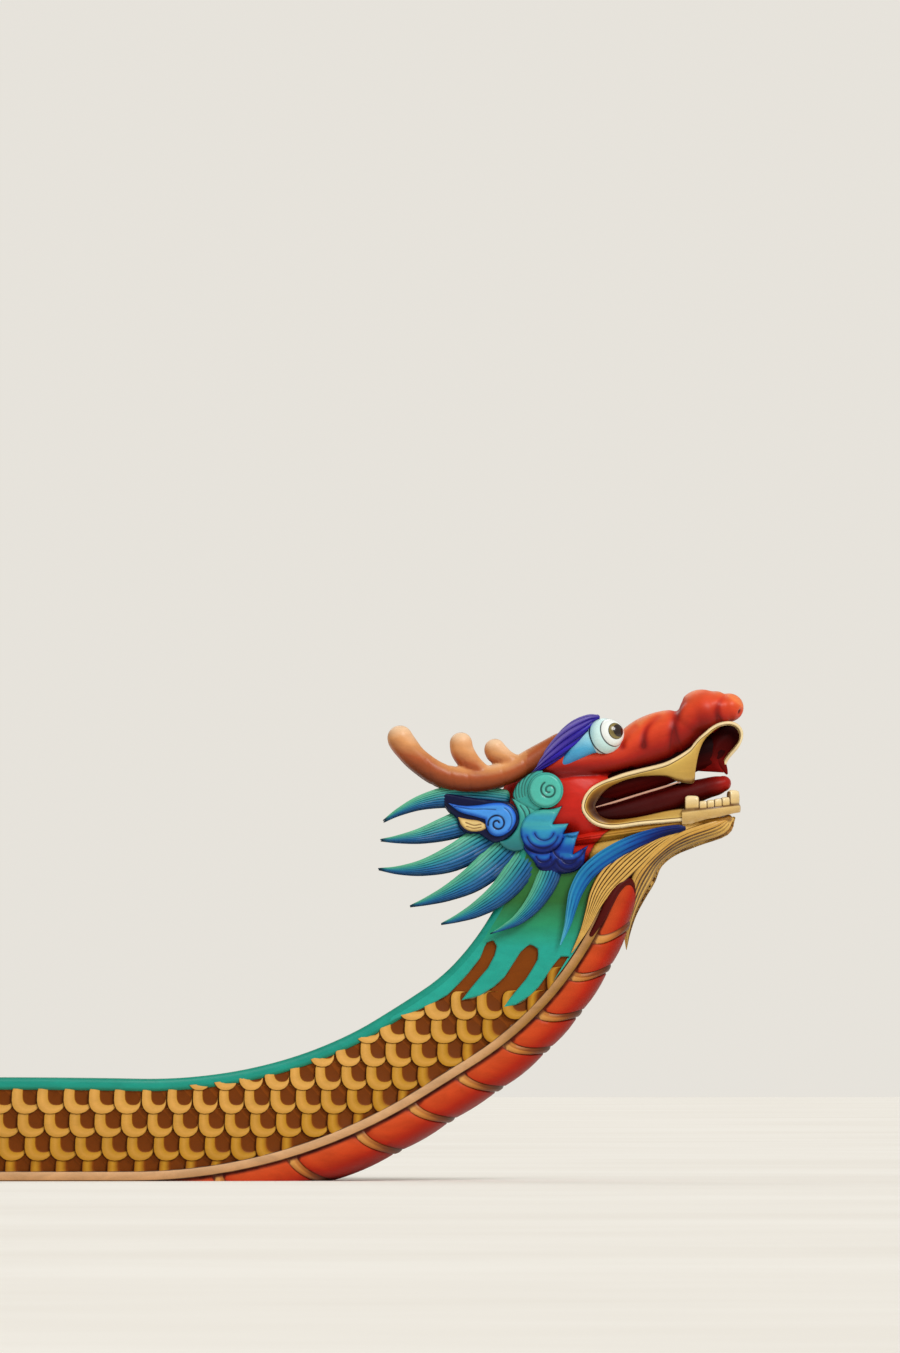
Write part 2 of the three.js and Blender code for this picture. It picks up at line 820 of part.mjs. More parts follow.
// Ribs under every bench and under the drum, joined by the keelson.
function addFrames() {
  const hollow = inside(RIB_DEPTH);
  const places = [DRUMMER_X, DRUM_X - 150, DRUM_X + 150];
  for (let row = 0; row < SEAT_ROWS; row++) places.push(seatX(row));
  const height = 600;
  const top = SEAT_Z - GAP;
  const slabs = places.map((x) => box(RIB_THICKNESS, 1400, height, x, 0, top - height / 2));
  const ribs = fitted(union(...slabs)).subtract(hollow);
  const foot = MOULDING_Z - 144 + PLANK;
  const from = TAIL_JOINT + 190;
  const to = NECK_JOINT - 190;
  const keelson = box(to - from, KEELSON_WIDTH, KEELSON_HEIGHT * 2, (from + to) / 2, 0, foot);
  add(boat, "ribs_and_keelson", ribs.add(fitted(keelson)), "wood");
}

function addSeats() {
  for (let row = 0; row < SEAT_ROWS; row++) {
    const plank = box(SEAT_DEPTH, 1400, SEAT_THICKNESS, seatX(row), 0, SEAT_Z + SEAT_THICKNESS / 2);
    add(boat, `bench_${row + 1}`, fitted(plank), "wood");
  }
}

// The drum stands on a bench of its own, and the drummer sits forward of it.
function addDrum() {
  const bench = box(520, 1400, SEAT_THICKNESS, DRUM_X, 0, SEAT_Z + SEAT_THICKNESS / 2);
  add(boat, "drum_bench", fitted(bench), "wood");
  const foot = SEAT_Z + SEAT_THICKNESS + GAP;
  const rim = DRUM_RADIUS * 0.86;
  const barrel = turned(
    [
      [0, 0],
      [rim, 0],
      [DRUM_RADIUS * 0.96, DRUM_HEIGHT * 0.25],
      [DRUM_RADIUS, DRUM_HEIGHT * 0.5],
      [DRUM_RADIUS * 0.96, DRUM_HEIGHT * 0.75],
      [rim, DRUM_HEIGHT],
      [0, DRUM_HEIGHT],
    ],
    DRUM_X,
    0,
    foot,
  );
  add(boat, "drum_barrel", barrel, "drum_red");
  const skin = turned(
    [
      [0, 0],
      [rim + 4, 0],
      [rim + 4, 10],
      [0, 14],
    ],
    DRUM_X,
    0,
    foot + DRUM_HEIGHT + GAP,
  );
  add(boat, "drum_head", skin, "drum_skin");
  const board = 26;
  const seatHeight = 330;
  const base = fitted(box(300, 1400, SEAT_THICKNESS, DRUMMER_X, 0, SEAT_Z + SEAT_THICKNESS / 2));
  const boxTop = SEAT_Z + seatHeight;
  const cheek = (y) => box(230, board, seatHeight - 20, DRUMMER_X, y, SEAT_Z + seatHeight / 2);
  const seat = box(280, 420, board, DRUMMER_X, 0, boxTop);
  const back = box(board, 300, 150, DRUMMER_X, 0, SEAT_Z + seatHeight / 2);
  add(boat, "drummer_seat", union(base, cheek(150), cheek(-150), seat, back), "wood");
}

// The steering oar in its fork, on an arm across the rails.
const ARM_HEIGHT = 64;
const ARM_WIDTH = 90;
const FORK_ARM = 12; // thickness of each side of the fork
const FORK_ROOM = OAR_SHAFT_RADIUS + 5;
const OAR_SLOPE = radians(27);

function addSteering() {
  const railTop = ringAt(railOutline, OAR_PIVOT.x + ARM_WIDTH / 2)[5].z;
  const edge = ringAt(railOutline, OAR_PIVOT.x)[2].y;
  const from = -edge - 6;
  const to = OAR_PIVOT.y + 70;
  const armZ = railTop + GAP + ARM_HEIGHT / 2;
  const beam = box(ARM_WIDTH, to - from, ARM_HEIGHT, OAR_PIVOT.x, (from + to) / 2, armZ);
  const armTop = armZ + ARM_HEIGHT / 2;
  const disc = (radius, low, high) =>
    turned([[0, low], [radius, low], [radius, high], [0, high]], OAR_PIVOT.x, OAR_PIVOT.y, 0, 20);
  const hole = disc(PIN_RADIUS * 1.5 + 1, armTop - 50, armTop + 10);
  add(boat, "steering_arm", beam.subtract(hole), "wood");

  const foot = armTop + 1;
  const top = OAR_PIVOT.z + 46;
  const height = top - foot;
  const arms = [1, -1].map((side) => {
    const y = OAR_PIVOT.y + side * (FORK_ROOM + FORK_ARM / 2);
    return box(46, FORK_ARM, height, OAR_PIVOT.x, y, foot + height / 2);
  });
  const pin = solid(
    new THREE.CylinderGeometry(PIN_RADIUS, PIN_RADIUS, FORK_ROOM * 2 + 4, 16).translate(
      ...OAR_PIVOT.toArray(),
    ),
  );
  const base = disc(FORK_ROOM + FORK_ARM + 2, foot, foot + 14);
  const spindle = disc(PIN_RADIUS * 1.5, armTop - 48, foot + 8);
  add(boat, "oar_fork", union(base, spindle, ...arms, pin), "iron");

  // The oar slopes down aft; along it, x is the distance forward of the pin.
  const along = vector(Math.cos(OAR_SLOPE), 0, Math.sin(OAR_SLOPE));
  const row = (distance, width, depth) => {
    const point = OAR_PIVOT.clone().addScaledVector(along, distance);
    return [point.x, point.y, point.z, width, depth];
  };
  const shaft = tube(
    [
      row(-1150, 20, 20),
      row(-900, OAR_SHAFT_RADIUS, OAR_SHAFT_RADIUS),
      row(300, OAR_SHAFT_RADIUS, OAR_SHAFT_RADIUS),
      row(860, 19, 19),
      row(1020, 19, 19),
    ],
    12,
  );
  const grip = tube([row(1000, 19, 19), row(1015, 26, 24), row(1050, 26, 24), row(1062, 18, 16)], 10);
  const blade = tube(
    [row(-1040, 18, 22), row(-1160, 14, 70), row(-1500, 11, 100), row(-1700, 9, 96), row(-1716, 7, 84)],
    8,
  );
  const bore = solid(
    new THREE.CylinderGeometry(PIN_RADIUS + 0.6, PIN_RADIUS + 0.6, 120, 16).translate(
      ...OAR_PIVOT.toArray(),
    ),
  );
  add(boat, "steering_oar", union(shaft, grip, blade).subtract(bore), "wood");
}

// The tail above the hull's end: a scaled stem that curls forward, and a fan of flames that
// stands on a spine along its back.
const TAIL_STEM = [
  [-5536, 0, 880, 54, 80],
  [-5530, 0, 980, 50, 72],
  [-5510, 0, 1080, 44, 62],
  [-5470, 0, 1170, 36, 50],
  [-5405, 0, 1240, 27, 38],
  [-5325, 0, 1275, 17, 24],
  [-5262, 0, 1270, 6, 8],
];
const TAIL_SPINE = [
  [-5602, 0, 850, 18, 30],
  [-5602, 0, 980, 18, 30],
  [-5576, 0, 1085, 17, 28],
  [-5526, 0, 1188, 15, 26],
  [-5452, 0, 1268, 12, 22],
  [-5372, 0, 1310, 8, 14],
];
// Points of each flame from root to tip, x and z.
const TAIL_FLAMES = [
  [[-5600, 862], [-5710, 850], [-5830, 878], [-5940, 950]],
  [[-5600, 940], [-5716, 956], [-5826, 1016], [-5920, 1116]],
  [[-5592, 1020], [-5694, 1070], [-5786, 1160], [-5846, 1282]],
  [[-5560, 1104], [-5644, 1180], [-5708, 1282], [-5730, 1402]],
  [[-5508, 1184], [-5562, 1280], [-5592, 1384], [-5576, 1494]],
  [[-5440, 1250], [-5466, 1344], [-5462, 1436], [-5414, 1518]],
];
const FLAME_HALF_SIZES = [[24, 52], [21, 46], [14, 30], [3, 4]]; // across and deep, at each point

function addTail() {
  const hull = planked(envelopeOutline(CUT_GAP), TAIL_END - CUT_GAP, -5228);
  const stem = cut(tube(TAIL_STEM, 12), hull);
  const flames = TAIL_FLAMES.map((points) =>
    tube(points.map(([x, z], i) => [x, 0, z, ...FLAME_HALF_SIZES[i]]), 8),
  );
  const fan = union(tube(TAIL_SPINE, 8), ...flames);
  add(boat, "tail_stem", largest(stem), "scale_gold");
  add(boat, "tail_flames", largest(cut(fan, tube(TAIL_STEM, 12, CUT_GAP), hull)), "mane_blue");
}

function addHead() {
  const neck = neckFor(CUT_GAP);
  const core = headCore(CUT_GAP);
  const jaw = lowerJaw(CUT_GAP);
  const eyes = bothSides(eye(CUT_GAP));
  add(head, "head_core", largest(cut(headCore(0), neck, eyes)), "face_red");
  addPair(head, "eye", eye(0), "eye_white");
  add(head, "lower_jaw", largest(cut(lowerJaw(0), core, neck)), "beard_gold");

  // The mouth.
  const palate = tube(PALATE, 10, CUT_GAP);
  const tongue = tube(TONGUE, 10, CUT_GAP);
  const lip = lipBand(CUT_GAP);
  add(head, "palate", largest(cut(tube(PALATE, 10), core, jaw)), "mouth_dark");
  add(head, "tongue", largest(cut(tube(TONGUE, 10), core, jaw, palate)), "tongue_red");
  add(head, "lip_band", largest(cut(lipBand(0), core, jaw, palate)), "lip_gold");
  add(head, "lower_teeth", largest(cut(lowerTeeth(), jaw, lip, tongue)), "tooth_ivory");

  // Brow and antler.
  const antlerOf = (grow) =>
    union(tube(ANTLER, 10, grow), ...TINES.map((rows) => tube(rows, 8, grow)));
  const brow = tube(BROW, 8, CUT_GAP);
  const antler = antlerOf(CUT_GAP);
  addPair(head, "brow", largest(cut(tube(BROW, 8), core, eyes)), "brow_violet");
  addPair(head, "antler", largest(cut(antlerOf(0), core, brow)), "antler_copper");

  // Reliefs on the cheek, from front to back, and the mane behind them.
  const curl = templeCurl(CUT_GAP);
  const cloud = cheekCloud(CUT_GAP);
  const ear = earPlate(CUT_GAP);
  addPair(head, "temple_curl", largest(cut(templeCurl(0), core, antler, brow, lip)), "curl_teal");
  addPair(head, "cheek_cloud", largest(cut(cheekCloud(0), core, curl, neck, lip)), "cloud_blue");
  addPair(head, "ear", largest(cut(earPlate(0), core, curl, cloud, antler)), "cloud_blue");
  const maneOf = (grow) =>
    union(...MANE.map((rows) => tube(rows, 6, grow)), tube(MANE_ROOT, 8, grow));
  const mane = cut(maneOf(0), core, curl, cloud, ear, antler, neck);
  addPair(head, "mane", largest(mane), "mane_blue");

  // Below the jaw.
  const strand = tube(JAW_STRAND, 8, CUT_GAP);
  const strandBody = cut(tube(JAW_STRAND, 8), core, jaw, neck, cloud, lip);
  addPair(head, "jaw_strand", largest(strandBody), "strand_blue");
  const locks = bothSides(tube(SIDE_LOCK, 8));
  const beard = union(tube(THROAT, 12), tube(BEARD, 12), tube(FRONT_LOCK, 12), locks);
  const gum = tube(GUM, 6, CUT_GAP);
  const besides = bothSides(union(curl, cloud, strand, gum, maneOf(CUT_GAP)));
  add(head, "beard", largest(cut(beard, core, jaw, neck, besides, lip)), "beard_gold");
}

addSkin();
addDecks();
addFrames();
addSeats();
addDrum();
addSteering();
addTail();
addHead();

export default boat;
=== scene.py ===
# %% [markdown]
# # A painted dragon boat
# The real boat is an open wooden hull for about twenty paddlers. Its bow bends up into a carved
# dragon's neck and head, and its stern into the tail. This script dresses the plain model of
# the boat in its carved and painted surfaces. It begins with that model, because every surface
# made here has to lie where the plain pieces already are.

import math

import bmesh
import bpy
import numpy as np
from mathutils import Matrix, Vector
from mathutils.geometry import delaunay_2d_cdt


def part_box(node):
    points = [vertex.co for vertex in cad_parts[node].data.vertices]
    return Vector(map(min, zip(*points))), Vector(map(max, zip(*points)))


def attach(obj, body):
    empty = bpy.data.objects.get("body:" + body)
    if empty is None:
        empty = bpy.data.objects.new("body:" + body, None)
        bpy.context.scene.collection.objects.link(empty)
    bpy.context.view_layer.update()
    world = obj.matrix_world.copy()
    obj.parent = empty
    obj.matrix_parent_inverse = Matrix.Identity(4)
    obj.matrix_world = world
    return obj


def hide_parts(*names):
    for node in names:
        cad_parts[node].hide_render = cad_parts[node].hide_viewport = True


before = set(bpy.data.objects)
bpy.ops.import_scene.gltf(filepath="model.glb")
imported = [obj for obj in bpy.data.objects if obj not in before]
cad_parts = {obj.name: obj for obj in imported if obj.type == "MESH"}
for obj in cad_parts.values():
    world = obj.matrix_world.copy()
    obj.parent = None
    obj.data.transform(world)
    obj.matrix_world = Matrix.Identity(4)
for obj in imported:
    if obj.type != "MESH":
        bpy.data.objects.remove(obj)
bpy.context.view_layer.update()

# %% [markdown]
# ## Gathering patches into a piece
# A carved surface is many small patches of points. They could each be an object, but then a
# row of scales would be hundreds of objects. Here a `Piece` gathers patches into one mesh.
# Each point also carries a tone, which picks its paint and on many carvings also paints in
# light and shade, and an ink value for the dark lines that a painter draws in the grooves,
# used in a few places for painted shade too.

# %% Piece
SIDES = (("port", 1), ("starboard", -1))
MM = 0.001


class Piece:
    """Patches of points and faces that together become one mesh, or a mirrored pair."""

    def __init__(self):
        self.points, self.tone, self.ink = [], [], []
        self.faces, self.paint = [], []
        self.count = 0

    def add(self, points, faces, tone=0.0, ink=0.0, paint=0):
        """Adds a patch. Tone and ink belong to its points, and paint to its faces."""
        points = np.asarray(points, float)
        shape = points.shape[:-1]
        self.tone.append(np.broadcast_to(tone, shape).ravel())
        self.ink.append(np.broadcast_to(ink, shape).ravel())
        self.points.append(points.reshape(-1, 3))
        self.faces += [[corner + self.count for corner in face] for face in faces]
        self.paint += np.broadcast_to(np.ravel(paint), len(faces)).tolist()
        self.count += len(self.points[-1])

    def skin(self, grid, tone=0.0, ink=0.0, paint=0, around=False, ends=False):
        """A grid of points as a skin. Around joins each row's two ends; ends adds both caps."""
        rows, columns = grid.shape[:2]
        steps = np.arange(columns if around else columns - 1)
        row, column = np.meshgrid(np.arange(rows - 1), steps, indexing="ij")
        a = row * columns + column
        b = row * columns + (column + 1) % columns
        faces = np.stack([a, b, b + columns, a + columns], -1).reshape(-1, 4).tolist()
        paint = np.broadcast_to(paint, (rows - 1, len(steps))).ravel().tolist()
        if ends:
            last = (rows - 1) * columns
            faces += [list(range(columns)), list(range(last, last + columns))]
            paint += [paint[0], paint[-1]]
        self.add(grid, faces, tone, ink, paint)

    def solid(self, grid, tone=0.0, ink=0.0, paint=0):
        """A grid whose rows are rings, as a closed body with a cap on its first and last ring."""
        self.skin(grid, tone, ink, paint, around=True, ends=True)

    def mesh(self, name, side=1):
        """The patches as one mesh with its faces turned outwards. A side of -1 mirrors it."""
        mesh = bpy.data.meshes.new(name)
        points = np.vstack(self.points) * [1, side, 1]
        mesh.from_pydata(points.tolist(), [], self.faces)
        mesh.polygons.foreach_set("material_index", self.paint)
        shape = bmesh.new()
        shape.from_mesh(mesh)
        bmesh.ops.recalc_face_normals(shape, faces=shape.faces)
        shape.to_mesh(mesh)
        shape.free()
        for label, values in (("tone", self.tone), ("ink", self.ink)):
            values = np.concatenate(values).astype(np.float32)
            mesh.attributes.new(label, "FLOAT", "POINT").data.foreach_set("value", values)
        return mesh

    def make(self, name, paints, stands_for=(), side=1, sharp=50, body="boat"):
        """The mesh as an object that rides a body and stands for plain nodes, which it hides."""
        mesh = self.mesh(name, side)
        mesh.shade_smooth()
        mesh.set_sharp_from_angle(angle=math.radians(sharp))
        for paint in paints:
            mesh.materials.append(paint)
        made = bpy.data.objects.new(name, mesh)
        bpy.context.scene.collection.objects.link(made)
        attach(made, body)
        if stands_for:
            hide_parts(*stands_for)
        print(name, len(mesh.polygons), "faces")
        return made

    def make_pair(self, name, paints, stands_for=(), sharp=50):
        """The piece on the port side and, mirrored, on the starboard side."""
        for place, side in SIDES:
            nodes = [f"{node}_{place}" for node in stands_for]
            self.make(f"{name}_{place}", paints, nodes, side, sharp)

# %% Smooth curves through a table
def smooth_rows(rows, steps=6):
    """More rows on a smooth curve through the rows of a table."""
    rows = np.asarray(rows, float)
    rows = np.vstack([2 * rows[0] - rows[1], rows, 2 * rows[-1] - rows[-2]])
    t = np.linspace(0, 1, steps, endpoint=False)[:, None]
    spans = []
    for a, b, c, d in zip(rows, rows[1:], rows[2:], rows[3:]):
        bend = (c - a) * t + (2 * a - 5 * b + 4 * c - d) * t**2 + (3 * b - 3 * c + d - a) * t**3
        spans.append(b + bend / 2)
    return np.vstack([*spans, rows[-2:-1]])

# %% [markdown]
# ## Paint
# The real carving is coloured with brushed oil paint over wood. A flat colour would look like
# plastic, so every paint here is mixed from the same effects: a ramp that follows each
# point's tone, brush marks that lighten and darken it, dark ink in the grooves, and raised
# edges lightened in a paler tint, partly rubbed wear and partly a painted highlight. The effects
# are node groups, built once and placed in each material.

# %% Helpers for shader nodes
def linear(code):
    """A screen colour such as #D9402A as the light values that a shader works in."""
    values = [int(code[i:i + 2], 16) / 255 for i in (1, 3, 5)]
    values = [v / 12.92 if v <= 0.04045 else ((v + 0.055) / 1.055) ** 2.4 for v in values]
    return (*values, 1.0)


SOCKETS = {"value": "NodeSocketFloat", "colour": "NodeSocketColor", "vector": "NodeSocketVector"}


def start_group(name, takes, gives):
    """A node group with named sockets, and the two nodes that stand for its ends."""
    group = bpy.data.node_groups.new(name, "ShaderNodeTree")
    for label, kind, default in takes:
        made = group.interface.new_socket(name=label, in_out="INPUT", socket_type=SOCKETS[kind])
        made.default_value = default
    for label, kind in gives:
        group.interface.new_socket(name=label, in_out="OUTPUT", socket_type=SOCKETS[kind])
    return group, group.nodes.new("NodeGroupInput"), group.nodes.new("NodeGroupOutput")


def node(tree, kind, inputs=None, **settings):
    """A node of a kind, with its settings, and each input linked or set."""
    made = tree.nodes.new("ShaderNode" + kind)
    for label, value in settings.items():
        setattr(made, label, value)
    for label, value in (inputs or {}).items():
        if isinstance(value, bpy.types.NodeSocket):
            tree.links.new(value, made.inputs[label])
        else:
            made.inputs[label].default_value = value
    return made


def noise(tree, place, scale, detail=4.0, roughness=0.55, distortion=0.0):
    """Cloudy noise from 0 to 1."""
    return node(tree, "TexNoise", {"Vector": place, "Scale": scale, "Detail": detail,
                                   "Roughness": roughness, "Distortion": distortion}).outputs[0]


def mapped(tree, value, low, high, to_low=0.0, to_high=1.0, kind="LINEAR"):
    """A value moved from one range to another, and kept inside it."""
    return node(tree, "MapRange", {0: value, 1: low, 2: high, 3: to_low, 4: to_high},
                interpolation_type=kind).outputs[0]


def maths(tree, operation, a, b=0.0, clamp=False):
    return node(tree, "Math", {0: a, 1: b}, operation=operation, use_clamp=clamp).outputs[0]


def mixed(tree, share, a, b):
    """One colour turning into another as share goes from 0 to 1."""
    return node(tree, "Mix", {0: share, 6: a, 7: b}, data_type="RGBA").outputs[2]

# %% Brush marks, and rubbed edges with a painted highlight
def brush_group():
    """Brush marks: soft streaks and a finer bristle, as a darkening mask and a height."""
    group, given, result = start_group(
        "brush_marks", [("Scale", "value", 1.0)], [("Mask", "value"), ("Height", "value")])
    place = node(group, "TexCoord").outputs["Object"]
    streaked = node(group, "VectorMath", {0: place, 1: (1.0, 1.0, 2.6)}, operation="MULTIPLY").outputs[0]
    size = maths(group, "MULTIPLY", given.outputs["Scale"], 9.0)
    fine = maths(group, "MULTIPLY", given.outputs["Scale"], 140.0)
    cloud = noise(group, streaked, size, 5.0, 0.6, 0.6)
    bristle = noise(group, streaked, fine, 3.0, 0.7)
    both = maths(group, "ADD", maths(group, "MULTIPLY", cloud, 0.72),
                 maths(group, "MULTIPLY", bristle, 0.28))
    group.links.new(mapped(group, both, 0.36, 0.64), result.inputs["Mask"])
    group.links.new(bristle, result.inputs["Height"])
    return group


def wear_and_highlight_group():
    """Rubbed edges with a painted highlight: a mask of raised edges, broken up by a patchy noise."""
    group, given, result = start_group(
        "rubbed_and_highlit_edges", [("Amount", "value", 0.5)], [("Mask", "value")])
    place = node(group, "TexCoord").outputs["Object"]
    edge = mapped(group, node(group, "NewGeometry").outputs["Pointiness"], 0.52, 0.60)
    patch = mapped(group, noise(group, place, 34.0, 6.0, 0.7), 0.42, 0.62)
    mask = maths(group, "MULTIPLY", maths(group, "MULTIPLY", edge, patch),
                 given.outputs["Amount"], True)
    group.links.new(mask, result.inputs["Mask"])
    return group

# %% Ink in the grooves, and wood grain
def ink_group():
    """Ink drawn in the grooves, its strength varied as by a brush that runs dry."""
    group, given, result = start_group(
        "ink_lines", [("Strength", "value", 1.0)], [("Mask", "value")])
    ink = node(group, "Attribute", attribute_name="ink").outputs["Fac"]
    place = node(group, "TexCoord").outputs["Object"]
    dry = mapped(group, noise(group, place, 22.0, 4.0, 0.6), 0.25, 0.6, 0.72, 1.0)
    line = mapped(group, ink, 0.22, 0.78, kind="SMOOTHSTEP")
    mask = maths(group, "MULTIPLY", maths(group, "MULTIPLY", line, dry),
                 given.outputs["Strength"], True)
    group.links.new(mask, result.inputs["Mask"])
    return group


def grain_group():
    """Wood grain: long streaks, rings and pores."""
    group, given, result = start_group(
        "wood_grain",
        [("Light", "colour", (1, 1, 1, 1)), ("Dark", "colour", (0, 0, 0, 1)),
         ("Scale", "value", 1.0), ("Squeeze", "vector", (0.35, 6.0, 6.0))],
        [("Colour", "colour"), ("Height", "value")])
    place = node(group, "TexCoord").outputs["Object"]
    stretched = node(group, "VectorMath", {0: place, 1: given.outputs["Squeeze"]},
                     operation="MULTIPLY").outputs[0]
    size = maths(group, "MULTIPLY", given.outputs["Scale"], 5.0)
    rings = noise(group, stretched, size, 6.0, 0.62, 1.2)
    pores = noise(group, stretched, maths(group, "MULTIPLY", size, 9.0), 3.0, 0.7)
    both = maths(group, "ADD", maths(group, "MULTIPLY", rings, 0.7), maths(group, "MULTIPLY", pores, 0.3))
    share = mapped(group, both, 0.36, 0.66)
    group.links.new(mixed(group, share, given.outputs["Dark"], given.outputs["Light"]),
                    result.inputs["Colour"])
    group.links.new(both, result.inputs["Height"])
    return group


BRUSH, WEAR_AND_HIGHLIGHT, INK, GRAIN = brush_group(), wear_and_highlight_group(), ink_group(), grain_group()
print("node groups:", [group.name for group in bpy.data.node_groups])

# %% [markdown]
# ## From effects to finishes
# A finish is a material. `painted` takes a ramp of colours from the lowest tone to the
# highest; `wooden` takes two colours of grain. The gloss of each paint is set on the shader
# itself, since it is the same all over, and only the small changes in roughness are linked.

# %% Helpers for materials
def new_material(name):
    material = bpy.data.materials.new(name)
    material.use_nodes = True
    material.node_tree.nodes.clear()
    return material


def shade(material, colour, roughness, height, bump, coat=0.0, metallic=0.0, shine=0.25):
    """Gives a material its Principled shader, once its colour and height are worked out."""
    tree = material.node_tree
    surface = node(tree, "BsdfPrincipled", {"Base Color": colour, "Roughness": roughness,
                                            "Metallic": metallic, "Coat Weight": coat,
                                            "Coat Roughness": 0.2,
                                            "Specular IOR Level": shine})
    bumps = node(tree, "Bump", {"Height": height, "Strength": bump, "Distance": 0.002})
    tree.links.new(bumps.outputs["Normal"], surface.inputs["Normal"])
    output = tree.nodes.new("ShaderNodeOutputMaterial")
    tree.links.new(surface.outputs["BSDF"], output.inputs["Surface"])
    return material


def grouped(tree, group, **values):
    """One of the shared effects, placed in a material with its own values."""
    made = tree.nodes.new("ShaderNodeGroup")
    made.node_tree = group
    for label, value in values.items():
        made.inputs[label].default_value = value
    return made


def ramp(tree, value, colours):
    """Colours along a value from 0 to 1, from pairs of a place and a colour."""
    made = node(tree, "ValToRGB", {"Fac": value})
    points = made.color_ramp.elements
    for place, code in colours[1:-1]:
        points.new(place)
    for point, (place, code) in zip(points, colours):
        point.position = place
        point.color = linear(code)
    return made.outputs["Color"]

# %% Painted and wooden finishes
def painted(name, colours, ink="#3A1A08", rough=0.36, coat=0.1, depth=0.14, wear_and_highlight=0.25,
            worn_and_highlit="#C9A46A", bump=0.25, metallic=0.0, shine=0.25):
    """Brushed paint: its colour follows the tone, with brush marks, ink lines and rubbed, highlit edges.
    """
    material = new_material(name)
    tree = material.node_tree
    tone = node(tree, "Attribute", attribute_name="tone").outputs["Fac"]
    colour = ramp(tree, tone, colours)
    marks = grouped(tree, BRUSH)
    streaks = mapped(tree, marks.outputs["Mask"], 0.0, 1.0, 1.0 - depth, 1.0 + depth * 0.5)
    colour = node(tree, "VectorMath", {0: colour, 1: streaks}, operation="MULTIPLY").outputs[0]
    # raised edges get a paler tint of the paint, partly rubbed wear and partly a painted highlight
    rubbed_and_highlit = grouped(tree, WEAR_AND_HIGHLIGHT, Amount=wear_and_highlight).outputs["Mask"]
    colour = mixed(tree, rubbed_and_highlit, colour, linear(worn_and_highlit))
    lines = grouped(tree, INK, Strength=1.0).outputs["Mask"]
    colour = mixed(tree, lines, colour, linear(ink))
    roughness = mapped(tree, marks.outputs["Mask"], 0.0, 1.0, rough - 0.06, rough + 0.1)
    return shade(material, colour, roughness, marks.outputs["Height"], bump, coat, metallic, shine)


LENGTHWISE, CROSSWISE = (0.35, 6.0, 6.0), (6.0, 0.35, 6.0)


def wooden(name, light, dark, scale=1.0, rough=0.5, coat=0.08, bump=0.5, wear_and_highlight=0.0,
           squeeze=LENGTHWISE):
    """Oiled wood. Squeeze shortens the pattern in two directions and draws it out in the third,
    where the grain runs."""
    material = new_material(name)
    tree = material.node_tree
    grain = grouped(tree, GRAIN, Light=linear(light), Dark=linear(dark), Scale=scale,
                    Squeeze=squeeze)
    # raised edges turn towards the light grain colour, partly rubbed wear and partly a painted highlight
    rubbed_and_highlit = grouped(tree, WEAR_AND_HIGHLIGHT, Amount=wear_and_highlight).outputs["Mask"]
    colour = mixed(tree, rubbed_and_highlit, grain.outputs["Colour"], linear(light))
    lines = grouped(tree, INK, Strength=0.9).outputs["Mask"]
    colour = mixed(tree, lines, colour, linear(dark))
    roughness = mapped(tree, grain.outputs["Height"], 0.3, 0.7, rough - 0.08, rough + 0.12)
    return shade(material, colour, roughness, grain.outputs["Height"], bump, coat)

# %% The hull's finishes
SCALE_PAINT = painted(
    "scale_paint", [(0.0, "#E8B062"), (0.42, "#B48020"), (0.54, "#7C3C04"), (1.0, "#5E2A02")],
    ink="#381804", rough=0.55, coat=0.0, depth=0.1, wear_and_highlight=0.0, shine=0.1)
GROUND_PAINT = painted(
    "ground_paint", [(0.0, "#7C3C06"), (1.0, "#5E2A04")], rough=0.55, coat=0.0, depth=0.08,
    wear_and_highlight=0.0, shine=0.1)
BELLY_PAINT = painted(
    "belly_paint", [(0.0, "#CC5020"), (0.45, "#B0240A"), (1.0, "#7A0A02")], ink="#420C02",
    rough=0.42, coat=0.0, worn_and_highlit="#E06A40", wear_and_highlight=0.1, shine=0.12)
RING_PAINT = painted(
    "ring_paint", [(0.0, "#E0A456"), (0.3, "#BC742E"), (0.6, "#7A3A10"), (1.0, "#4E220A")],
    ink="#541E06", rough=0.42, coat=0.05, shine=0.2)
MOULDING_PAINT = painted(
    "moulding_paint", [(0.0, "#D2A67A"), (0.5, "#C09060"), (1.0, "#94641C")], ink="#3E1C0C",
    rough=0.46, depth=0.2, coat=0.0)
TEAL_PAINT = painted(
    "teal_paint", [(0.0, "#0E907E"), (0.5, "#0B7E64"), (1.0, "#226E34")], ink="#1C6A3A", rough=0.38,
    coat=0.15, worn_and_highlit="#7FD0B8", shine=0.2)
IRON = painted(
    "fork_iron", [(0.0, "#5A5C60"), (1.0, "#2E3034")], ink="#141414", rough=0.5, coat=0.0,
    depth=0.3, bump=0.5, worn_and_highlit="#8A8C90", wear_and_highlight=0.6, metallic=0.9)
INNER_WOOD = wooden("inner_plank_wood", "#BE8A54", "#7A4A24", 0.9)
BENCH_WOOD = wooden("bench_wood", "#C8935A", "#86542A", 1.1, squeeze=CROSSWISE)
FLOOR_WOOD = wooden("floor_wood", "#A87444", "#63391A", 0.8)
print(len(bpy.data.materials), "materials so far")

# %% [markdown]
# ## The line of the hull
# Seen from the side, the moulding runs level amidships and then climbs in arcs into the neck
# and the tail. Everything on the hull is placed by how far along that line it is, how far
# out, and how far above the line. The table of sections gives the hull's breadth and depth;
# between its rows the values follow a smooth curve, so that no flat shows on the planks.

# %% The hull's line and sections, in millimetres
MOULDING_Z, MOULDING_TOP, MOULDING_PROUD = 18, 18, 14
PLANK, RAIL_HEIGHT, RAIL_WIDTH, RAIL_PROUD, GAP = 26, 44, 52, 14, 0.3
TAIL_JOINT, NECK_JOINT, COLLAR_START = -4300, 4272, 5140
BOW_LINE = [(4000, 0), (1945, 32), (216, 0), (1242, 40)]
STERN_LINE = [(4300, 0), (1400, 38), (150, 0), (800, 44)]

